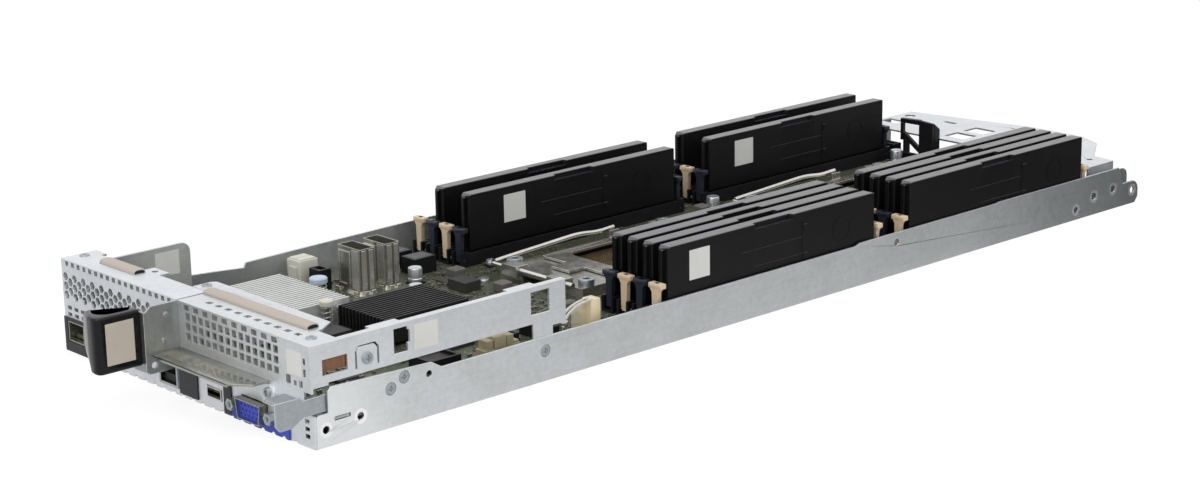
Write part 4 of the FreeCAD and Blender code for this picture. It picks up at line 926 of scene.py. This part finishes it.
# Rectangles that bigger parts take up: low x and y, high x and y.
taken = np.array([
    (-61, 42, -9, 92), (-5, 78, 29, 126), (-60, 117, -38, 144), (-82, 106, -68, 121), (-70, 109, -57, 120),
    (-75, 152, -46, 171), (-24, 152, -10, 165), (32, 94, 50, 112), (32, 114, 64, 124), (48, 130, 72, 140),
    (50, 70, 68, 90), (72, 86, 83, 109), (70, 120, 84, 151), (-26, 177, 36, 296), (-26, 332, 36, 451),
    (48, 176, 87, 323), (48, 331, 87, 478), (-80, 176, -42, 323), (-80, 331, -42, 478), (-86, 0, -70, 48),
    (-17, 0, 0, 20), (14, 0, 30, 16), (38, 0, 60, 14), (-64, 476, -16, 487), (-12, 474, 6, 488), (12, 470, 28, 482),
    (2, 60, 16, 75), (20, 138, 36, 152), (2, 144, 14, 156), (-42, 146, -36, 153), (-32, 136, -24, 144),
    (26, 128, 34, 136), (28, 308, 40, 322), (-32, 306, -16, 318), (60, 452, 76, 486)])


def free(x, y, pad=0.8):
    """True where a point is inside the board and outside every taken rectangle grown by pad."""
    inside = (x[:, None] > taken[:, 0] - pad) & (x[:, None] < taken[:, 2] + pad)
    inside &= (y[:, None] > taken[:, 1] - pad) & (y[:, None] < taken[:, 3] + pad)
    return ~inside.any(1) & (np.abs(x) < 82.5) & (y > 5) & (y < 483)


cell_x, cell_y = [a.ravel() for a in np.meshgrid(np.arange(-82, 83, 2.2), np.arange(6, 484, 2.0))]
district = np.sin(cell_x * 0.21 + 1.3) + np.sin(cell_y * 0.17) + np.sin((cell_x + cell_y) * 0.11)
chosen = free(cell_x, cell_y) & (rng.random(len(cell_x)) < np.clip(0.34 + 0.16 * district, 0.06, 0.75))
px, py = cell_x[chosen], cell_y[chosen]
kind = rng.integers(0, 4, len(px))
across = (np.floor(px / 13) + np.floor(py / 17)) % 2 < 1
long_side, short_side = np.choose(kind, [0.8, 0.6, 0.5, 0.95]), np.choose(kind, [0.42, 0.32, 0.28, 0.6])
hx, hy = np.where(across, long_side, short_side), np.where(across, short_side, long_side)
tall = np.choose(kind, [0.75, 0.5, 0.45, 1.1])
low = np.column_stack([px - hx, py - hy, np.full(len(px), board_top)])
high = np.column_stack([px + hx, py + hy, board_top + tall])

# Each part's two soldered ends are the part itself with the rest of its length cut away.
cut = np.column_stack([np.where(across, hx * 0.55 + hx, 0), np.where(across, 0, hy * 0.55 + hy), 0 * px])
proud = 0.03
ends_low, ends_high = np.concatenate([low, low + cut]), np.concatenate([high - cut, high])
show("small_part_ends", bricks(ends_low - (proud, proud, 0), ends_high + proud), solder)
for tag, which, finish in (("tan", [0, 3], tan_part), ("dark", [1, 2], chip_black)):
    pick = np.isin(kind, which)
    show("small_parts_" + tag, blocks(low[pick], high[pick], 0.05), finish)
print("small parts", len(px))

# %% [markdown]
# ## Chips with legs and coils
#
# A few flat packages with gull-wing legs, and the square coils of the power stages, stand in the
# same free areas. Legs are bent strips: each is two little blocks, repeated along both sides.

# %% Set the packages and the coils
# Middle x and y, half width, half length.
packages = [(-66.0, 96.0, 5.0, 4.0), (38.0, 60.0, 6.0, 5.0), (46.0, 44.0, 4.0, 5.0), (20.0, 48.0, 5.0, 5.0),
            (-14.0, 104.0, 4.0, 5.0), (-22.0, 118.0, 5.0, 4.0), (-30.0, 160.0, 4.0, 4.0), (44.0, 148.0, 5.0, 4.0),
            (-10.0, 326.0, 5.0, 4.0), (20.0, 324.0, 4.0, 4.0), (24.0, 464.0, 4.0, 4.0), (40.0, 300.0, 3.0, 3.0)]
legs = []
for x, y, a, b in packages:
    leg_y = y - b + 0.5 + 0.8 * np.arange(int(2 * b / 0.8))
    for s in (-1, 1):
        x0, x1, x2 = x + s * a, x + s * (a + 0.5), x + s * (a + 1.1)
        for near, far, z in ((x0, x1, 8.1), (x1, x2, board_top)):
            legs += [(min(near, far), v - 0.15, z, max(near, far), v + 0.15, z + 0.3) for v in leg_y]
package_rows = [(x - a, y - b, 7.7, x + a, y + b, 9.0) for x, y, a, b in packages]
show("package_bodies", boxes(package_rows, 0.15), chip_black)
show("package_legs", boxes(legs, 0.04), solder)
coils = [(x, y) for y in (168.0, 324.0) for x in (-34.0, 40.0)] + [(-62.0, 148.0), (36.0, 168.0), (-2.0, 168.0)]
coils += [(-8.0, 460.0), (36.0, 470.0), (0.0, 132.0)]
show("power_coils", boxes([(x - 3.2, y - 3.2, board_top, x + 3.2, y + 3.2, 12.0) for x, y in coils], 0.5), chip_grey)
print("packages", len(packages), "legs", len(legs), "coils", len(coils))

# %% [markdown]
# ## Insides of the ports
#
# A network jack shows eight gold springs in a dark cavity, and the USB port has four strips on
# its tongue. They are short, but without them a port is only a hole.

# %% Fill the ports
jack_springs = [swept([(x, 2.0, 12.6), (x, 5.0, 12.4), (x, 9.0, 10.0), (x, 11.6, 9.4)], circle(0.22, 6))
                for x in -15.0 + 1.1 * np.arange(8) + 1.6]
show("jack_springs", merge(jack_springs), gold)
jack_rim = boxes([(-16.1, -0.6, 2.7, -15.1, 0.3, 14.2), (-3.9, -0.6, 2.7, -2.9, 0.3, 14.2),
                  (-16.05, -0.58, 13.2, -2.95, 0.3, 14.3), (-16.05, -0.58, 2.65, -2.95, 0.3, 3.7)], 0.1)
show("jack_rim", jack_rim, lever_zinc)
linings = boxes([(-15.3, 11.0, 8.0, -3.7, 11.9, 13.4), (-15.7, 0.4, 13.0, -3.3, 11.0, 13.4),
                 (-83.9, 30.0, 5.6, -72.9, 31.0, 13.2)], 0.1)
show("port_linings", linings, blank_black)
usb_strips = boxes([(18.9 + i * 2.0, 1.7, 7.3, 20.1 + i * 2.0, 9.0, 7.5) for i in range(4)], 0.03)
show("usb_strips", usb_strips, gold)
print("springs", len(jack_springs))

# %% [markdown]
# ## Screws, rivets and nuts
#
# A screw head is a low turned disc with a cross pressed into it. The cross is a ring whose radius
# swells four times round the turn. The same rings with six swells give the star socket of the
# nuts that hold the processor frames, and a plain round one gives the eyelet in the front tab.

# %% Turn the fasteners
def fastener(centre, axis, r, height, depth, bore, lobes, sign=1):
    """Rings: bore floor, bore wall, rounded face and edge. Bore radius = a + b |cos(lobes angle / 2)|^3."""
    angle = np.linspace(0, 2 * np.pi, 48, endpoint=False)
    star = bore[0] + bore[1] * np.abs(np.cos(lobes * angle / 2)) ** 3
    rim = np.array([r - 0.4, r - 0.12, r, r])[:, None] + 0 * star
    radii = np.concatenate([[star * 0.7, star * 0.95, star, star + 0.2], rim])
    heights = np.array([height - depth, height - depth * 0.9, height - 0.15, height, height, height - 0.12,
                        height - 0.4, 0.0])
    rings = np.stack([radii * np.cos(angle), radii * np.sin(angle), heights[:, None] + 0 * radii], -1)
    verts, faces = loft(stand(rings, axis))
    if sign < 0:
        verts = verts * {"x": (-1, -1, 1), "y": (1, -1, -1), "z": (1, -1, -1)}[axis]
    return verts + np.asarray(centre, float), faces


cross, eyelet, star_socket = (0.35, 1.0), (1.15, 0.0), (1.5, 0.4)
wall_x, plate_x = 87.2, 86.2
heads = [fastener((wall_x - 0.72, y, z), "x", 2.5, 0.7, 0.5, cross, 4)
         for y, z in ((36.0, 15.4), (42.6, 18.6), (114.0, 12.5))]
heads.append(fastener((plate_x, 26.2, 29.8), "x", 2.4, 0.9, 0.6, cross, 4))
heads += [fastener((x, y, cage_top), "z", 2.2, 0.5, 0.4, cross, 4)
          for x, y in ((-83.2, 9.0), (77.8, 7.1), (-8.6, 19.4))]
heads.append(fastener((59.6, -1.0, 16.4), "y", 2.0, 1.0, 0.95, eyelet, 4, sign=-1))
show("sheet_screws", merge(heads), lever_zinc, stands_for=["chassis_screws"])
rivets = [turned([(1.3, 0.0), (1.2, 0.35), (0.8, 0.6), (0.3, 0.68)], (0, y, z), "x", 20)
          for y, z in ((-6.0, 35.4), (-7.4, 25.2))]
show("bracket_rivets", merge(rivets), bracket_zinc, stands_for=["chassis_screws"])
nut_low, nut_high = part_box("cpu_frame_screws")
cad_head_r = 3.0
nut_x = (nut_high.x - nut_low.x) * 500 - cad_head_r
nut_y = ((nut_high.y - nut_low.y) * 1000 - (row_middle[1] - row_middle[0])) / 2 - cad_head_r
nut_top = nut_high.z * 1000
nut_spots = [(cpu_x + a * nut_x, cy + b * nut_y) for cy in cpu_y for a in (-1, 1) for b in (-1, 1)]
nuts = [fastener((x, y, nut_top - 2.2), "z", 3.7, 3.1, 2.6, star_socket, 6) for x, y in nut_spots]
nuts += [turned([(1.4, board_top), (1.4, nut_top - 2.1)], (x, y, 0), n=16) for x, y in nut_spots]
show("frame_nuts", merge(nuts), lever_zinc, stands_for=["cpu_frame_screws"])
print("fasteners", len(heads) + len(rivets), "nuts at", round(nut_x, 1), round(nut_y, 1), round(nut_top, 1))

# %% [markdown]
# ## The riser slot, the power blocks and the cable holder
#
# Three moulded parts of the board have a look of their own. The riser slot is cream with keys of
# different heights along it, the power blocks behind the cable shells have flat lids, and at the
# rear an open black frame with a slanting brace holds the cables.

# %% Mould them
riser_keys = boxes([(74.6, 89.4, 16.2, 80.2, 92.8, 20.4), (74.2, 93.2, 16.2, 80.6, 99.2, 21.4),
                    (74.4, 99.6, 16.2, 80.5, 103.2, 20.8), (74.8, 103.8, 16.2, 80.0, 106.4, 17.6)], 0.25)
riser = merge([pillar((74.4, 88.2, 80.4, 106.8), board_top, 16.6, 0.4, 2), riser_keys])
show("riser_slot", riser, cream_riser, stands_for=["riser_connector"])
lid_spots = [(-73.0, 154.0, -63.6, 166.6, 15.0), (-58.6, 156.0, -48.6, 168.6, 15.0)]
lids = boxes([(x0 + 0.9, y0 + 1.2, top - 1.3, x1 - 0.9, y1 - 1.2, top + 0.15)
              for x0, y0, x1, y1, top in lid_spots], 0.25)
show("power_lids", lids, lid_grey)
holder = [prism([(-27.2, 7.5), (-18.0, 7.5), (-18.0, 29.6), (-27.2, 30.2)], 479.6, 481.4, "y"),
          prism([(-40.0, 27.4), (-27.4, 27.6), (-27.4, 30.2), (-40.0, 29.6)], 479.7, 482.4, "y"),
          prism(rectangle(-40.0, 18.0, -38.2, 27.2), 479.8, 482.0, "y"),
          prism([(-39.9, 21.0), (-38.0, 22.8), (-27.4, 15.6), (-27.4, 12.4)], 479.9, 481.8, "y"),
          prism(rectangle(-40.0, 7.5, -27.4, 11.6), 479.8, 481.6, "y"),
          prism([(481.5, 7.5), (486.0, 7.5), (486.0, 26.0), (481.5, 29.4)], -19.8, -18.0, "x"),
          prism(rectangle(482.1, 7.5, 486.0, 17.8), -40.0, -38.2, "x")]
show("cable_frame", merge(holder), socket_black, stands_for=["rear_cable_holder"])
print("lids", len(lid_spots), "bars", len(holder))

# %% [markdown]
# ## Painted light and shade along the tray
#
# Light and shade are painted into the zinc: the long walls are painted lighter near the front and
# darker towards their rear end, their inside near the front gets painted shade, the left side plate
# is darker towards the front, and the port panel behind the front grille is painted dark as shade.
# A tone is laid over the metal's own, by how far a point lies from the front panel.

# %% Paint light and shade into the zinc along the tray and behind the grille
def paint_light_and_shade(finish, start, end, colour, amount, inside=False):
    """Painted light and shade: blends the base colour towards a lighter or darker tone as y goes from start to end,
    in millimetres from the panel.

    With inside, the blend is multiplied by a step in |x| that leaves the outer skins of the walls alone.
    """
    tree = finish.node_tree
    part = span(tree, own_axis(tree, "Y"), start * mm + front_y, end * mm + front_y, 0.0, amount)
    if inside:
        from_middle = maths(tree, "ABSOLUTE", own_axis(tree, "X"))
        skin = span(tree, from_middle, (wall_x - 0.15) * mm, (wall_x - 0.5) * mm)
        part = maths(tree, "MULTIPLY", part, skin)
    lay_over(finish, part, colour)


# Painted shade towards the walls' rear end, painted light near the front, painted shade on the tray's inside near
# the front.
paint_light_and_shade(zinc_wall, 380, 520, (84, 88, 90), 0.62)
paint_light_and_shade(zinc_wall, 50, 0, (250, 251, 252), 0.6)
paint_light_and_shade(zinc_wall, 125, 60, (34, 36, 36), 0.5, inside=True)
# The side plate is darker towards the front; the port panel behind the grille gets painted shade.
paint_light_and_shade(side_zinc, 45, 15, (62, 64, 64), 0.45)
paint_light_and_shade(io_zinc, 1.2, 2.0, (70, 72, 74), 0.9)
print("faded from y", round(380 * mm + front_y, 3), "to", round(520 * mm + front_y, 3))

# %% [markdown]
# ## Marks in the sheet
#
# The punch leaves a raised, burnished collar round each rivet hole. It stands out by less than a
# tenth of a millimetre, so it belongs to the finish of the tray: the distance from each hole's
# middle, measured in the plane of the wall, gives a ring that is smoother, for the burnish, and
# painted near white, a painted highlight where light catches the raised rim.

# %% Press the collars into the tray's finish
# Each hole's y, z and radius.
wall_holes = [(5.2, 6.8, 1.5), (21.3, 8.3, 1.5), (463.3, 5.1, 1.5), (477.8, 9.3, 1.8), (493.6, 10.3, 1.8),
              (510.0, 6.9, 1.6)]
tree = zinc_wall.node_tree
roughness = tree.nodes["Principled BSDF"].inputs["Roughness"]
in_wall = put(tree, "Mapping", {"Vector": own_place(tree), "Scale": (0, 1, 1)}).outputs["Vector"]
collar_highlights = None
for y, z, r in wall_holes:
    middle = (0.0, y * mm + front_y, z * mm)
    away = put(tree, "VectorMath", {0: in_wall, 1: middle}, operation="DISTANCE").outputs["Value"]
    from_rim = maths(tree, "ABSOLUTE", maths(tree, "SUBTRACT", away, (r + 0.75) * mm))
    collar = span(tree, from_rim, 0.0006, 0.0009, 1.0, 0.0)
    collar_highlights = collar if collar_highlights is None else maths(tree, "MAXIMUM", collar_highlights, collar)
# The rings are painted near white, a painted highlight on each raised collar, and are made a little smoother.
lay_over(zinc_wall, collar_highlights, (246, 247, 248))
smoother = maths(tree, "MULTIPLY", collar_highlights, 0.2)
tree.links.new(maths(tree, "SUBTRACT", roughness.links[0].from_socket, smoother), roughness)
print("collar_highlights", len(wall_holes))

# %% [markdown]
# ## Floor, world and light
#
# A product photograph stands on white paper under a large soft light. The paper is white to the
# camera and keeps a soft shadow. Metal sees paper and studio too: bright near the light, greyer
# away from it, which with the shade painted into the wall's finish makes a long zinc wall fade from
# its front to its rear end.

# %% Lay the paper
paper_half = 6.0
floor_z = cad_box[0].z
paper_mesh = bpy.data.meshes.new("paper")
paper_corners = rectangle(-paper_half, -paper_half, paper_half, paper_half)
paper_mesh.from_pydata([(x, y, floor_z) for x, y in paper_corners], [], [(0, 1, 2, 3)])
paper = bpy.data.objects.new("paper", paper_mesh)
scene.collection.objects.link(paper)
paper_finish = bpy.data.materials.new("paper")
paper_finish.use_nodes = True
tree = paper_finish.node_tree
tree.nodes.remove(tree.nodes["Principled BSDF"])
rays = put(tree, "LightPath").outputs
studio_grey = put(tree, "ValToRGB", {"Fac": span(tree, own_axis(tree, "Y"), -0.3, 0.4)})
grey_stops = [(0.0, 0.78), (0.06, 0.82), (0.11, 0.95), (0.2, 0.8), (0.28, 0.68), (0.43, 0.6), (0.54, 0.54),
              (0.6, 0.42), (0.67, 0.3), (0.77, 0.17), (0.82, 0.1), (1.0, 0.08)]
stops = studio_grey.color_ramp.elements
for position, grey in grey_stops[1:-1]:
    stops.new(position)
for stop, (position, grey) in zip(stops, grey_stops):
    stop.position = position
    stop.color = (grey, grey, grey, 1)


def blend_shaders(kind, first, second, inputs=()):
    """Two shaders into the last two sockets of a mixing or adding node."""
    node = put(tree, kind, inputs)
    tree.links.new(first.outputs[0], node.inputs[-2])
    tree.links.new(second.outputs[0], node.inputs[-1])
    return node


seen = blend_shaders("AddShader", put(tree, "BsdfDiffuse", {"Color": (0.18, 0.18, 0.18, 1)}),
                     put(tree, "Emission", {"Strength": 0.86}))
mirrored = put(tree, "Emission", {"Color": studio_grey.outputs["Color"], "Strength": 1.0})
plain = put(tree, "BsdfDiffuse", {"Color": (0.7, 0.7, 0.7, 1)})
in_metal = maths(tree, "MAXIMUM", rays["Is Glossy Ray"], rays["Is Transmission Ray"])
inner = blend_shaders("MixShader", plain, mirrored, {0: in_metal})
outer = blend_shaders("MixShader", inner, seen, {0: rays["Is Camera Ray"]})
tree.links.new(outer.outputs[0], tree.nodes["Material Output"].inputs["Surface"])
paper_mesh.materials.append(paper_finish)
print("paper at z", round(floor_z, 4))

# %% [markdown]
# ## World and lamps
#
# The world is an even white, a little dimmer for the light that only falls on things. A large
# square lamp hangs above and a smaller one stands at the front right, as soft boxes do.

# %% Light the studio
world = bpy.data.worlds.new("studio")
scene.world = world
world.use_nodes = True
tree = world.node_tree
rays = put(tree, "LightPath").outputs
sees = maths(tree, "MAXIMUM", rays["Is Camera Ray"], rays["Is Glossy Ray"])
sees = maths(tree, "MAXIMUM", sees, rays["Is Transmission Ray"])
background = tree.nodes["Background"].inputs
tree.links.new(span(tree, sees, 0.0, 1.0, 0.7, 1.0), background["Strength"])
background["Color"].default_value = (1, 1, 1, 1)


def soft_light(name, place, aim, size, power):
    """A square area lamp at a place, turned to face its aim."""
    lamp = bpy.data.lights.new(name, "AREA")
    lamp.size = size
    lamp.energy = power
    lamp_holder = bpy.data.objects.new(name, lamp)
    lamp_holder.location = place
    lamp_holder.rotation_euler = (Vector(place) - Vector(aim)).to_track_quat("Z", "Y").to_euler()
    scene.collection.objects.link(lamp_holder)


soft_light("top_light", (0.2, -0.1, 2.0), (0, 0, 0), 2.0, 13)
soft_light("front_light", (0.9, -1.6, 1.2), (0, -0.1, 0), 1.2, 9)
print("lights", len(bpy.data.lights))

# %% [markdown]
# ## The CAD model's box
#
# The dressed model must stay inside the CAD model's box, so that box is printed.

# %% Print the CAD model's box
print("cad box", [[round(float(v), 4) for v in c] for c in cad_box])
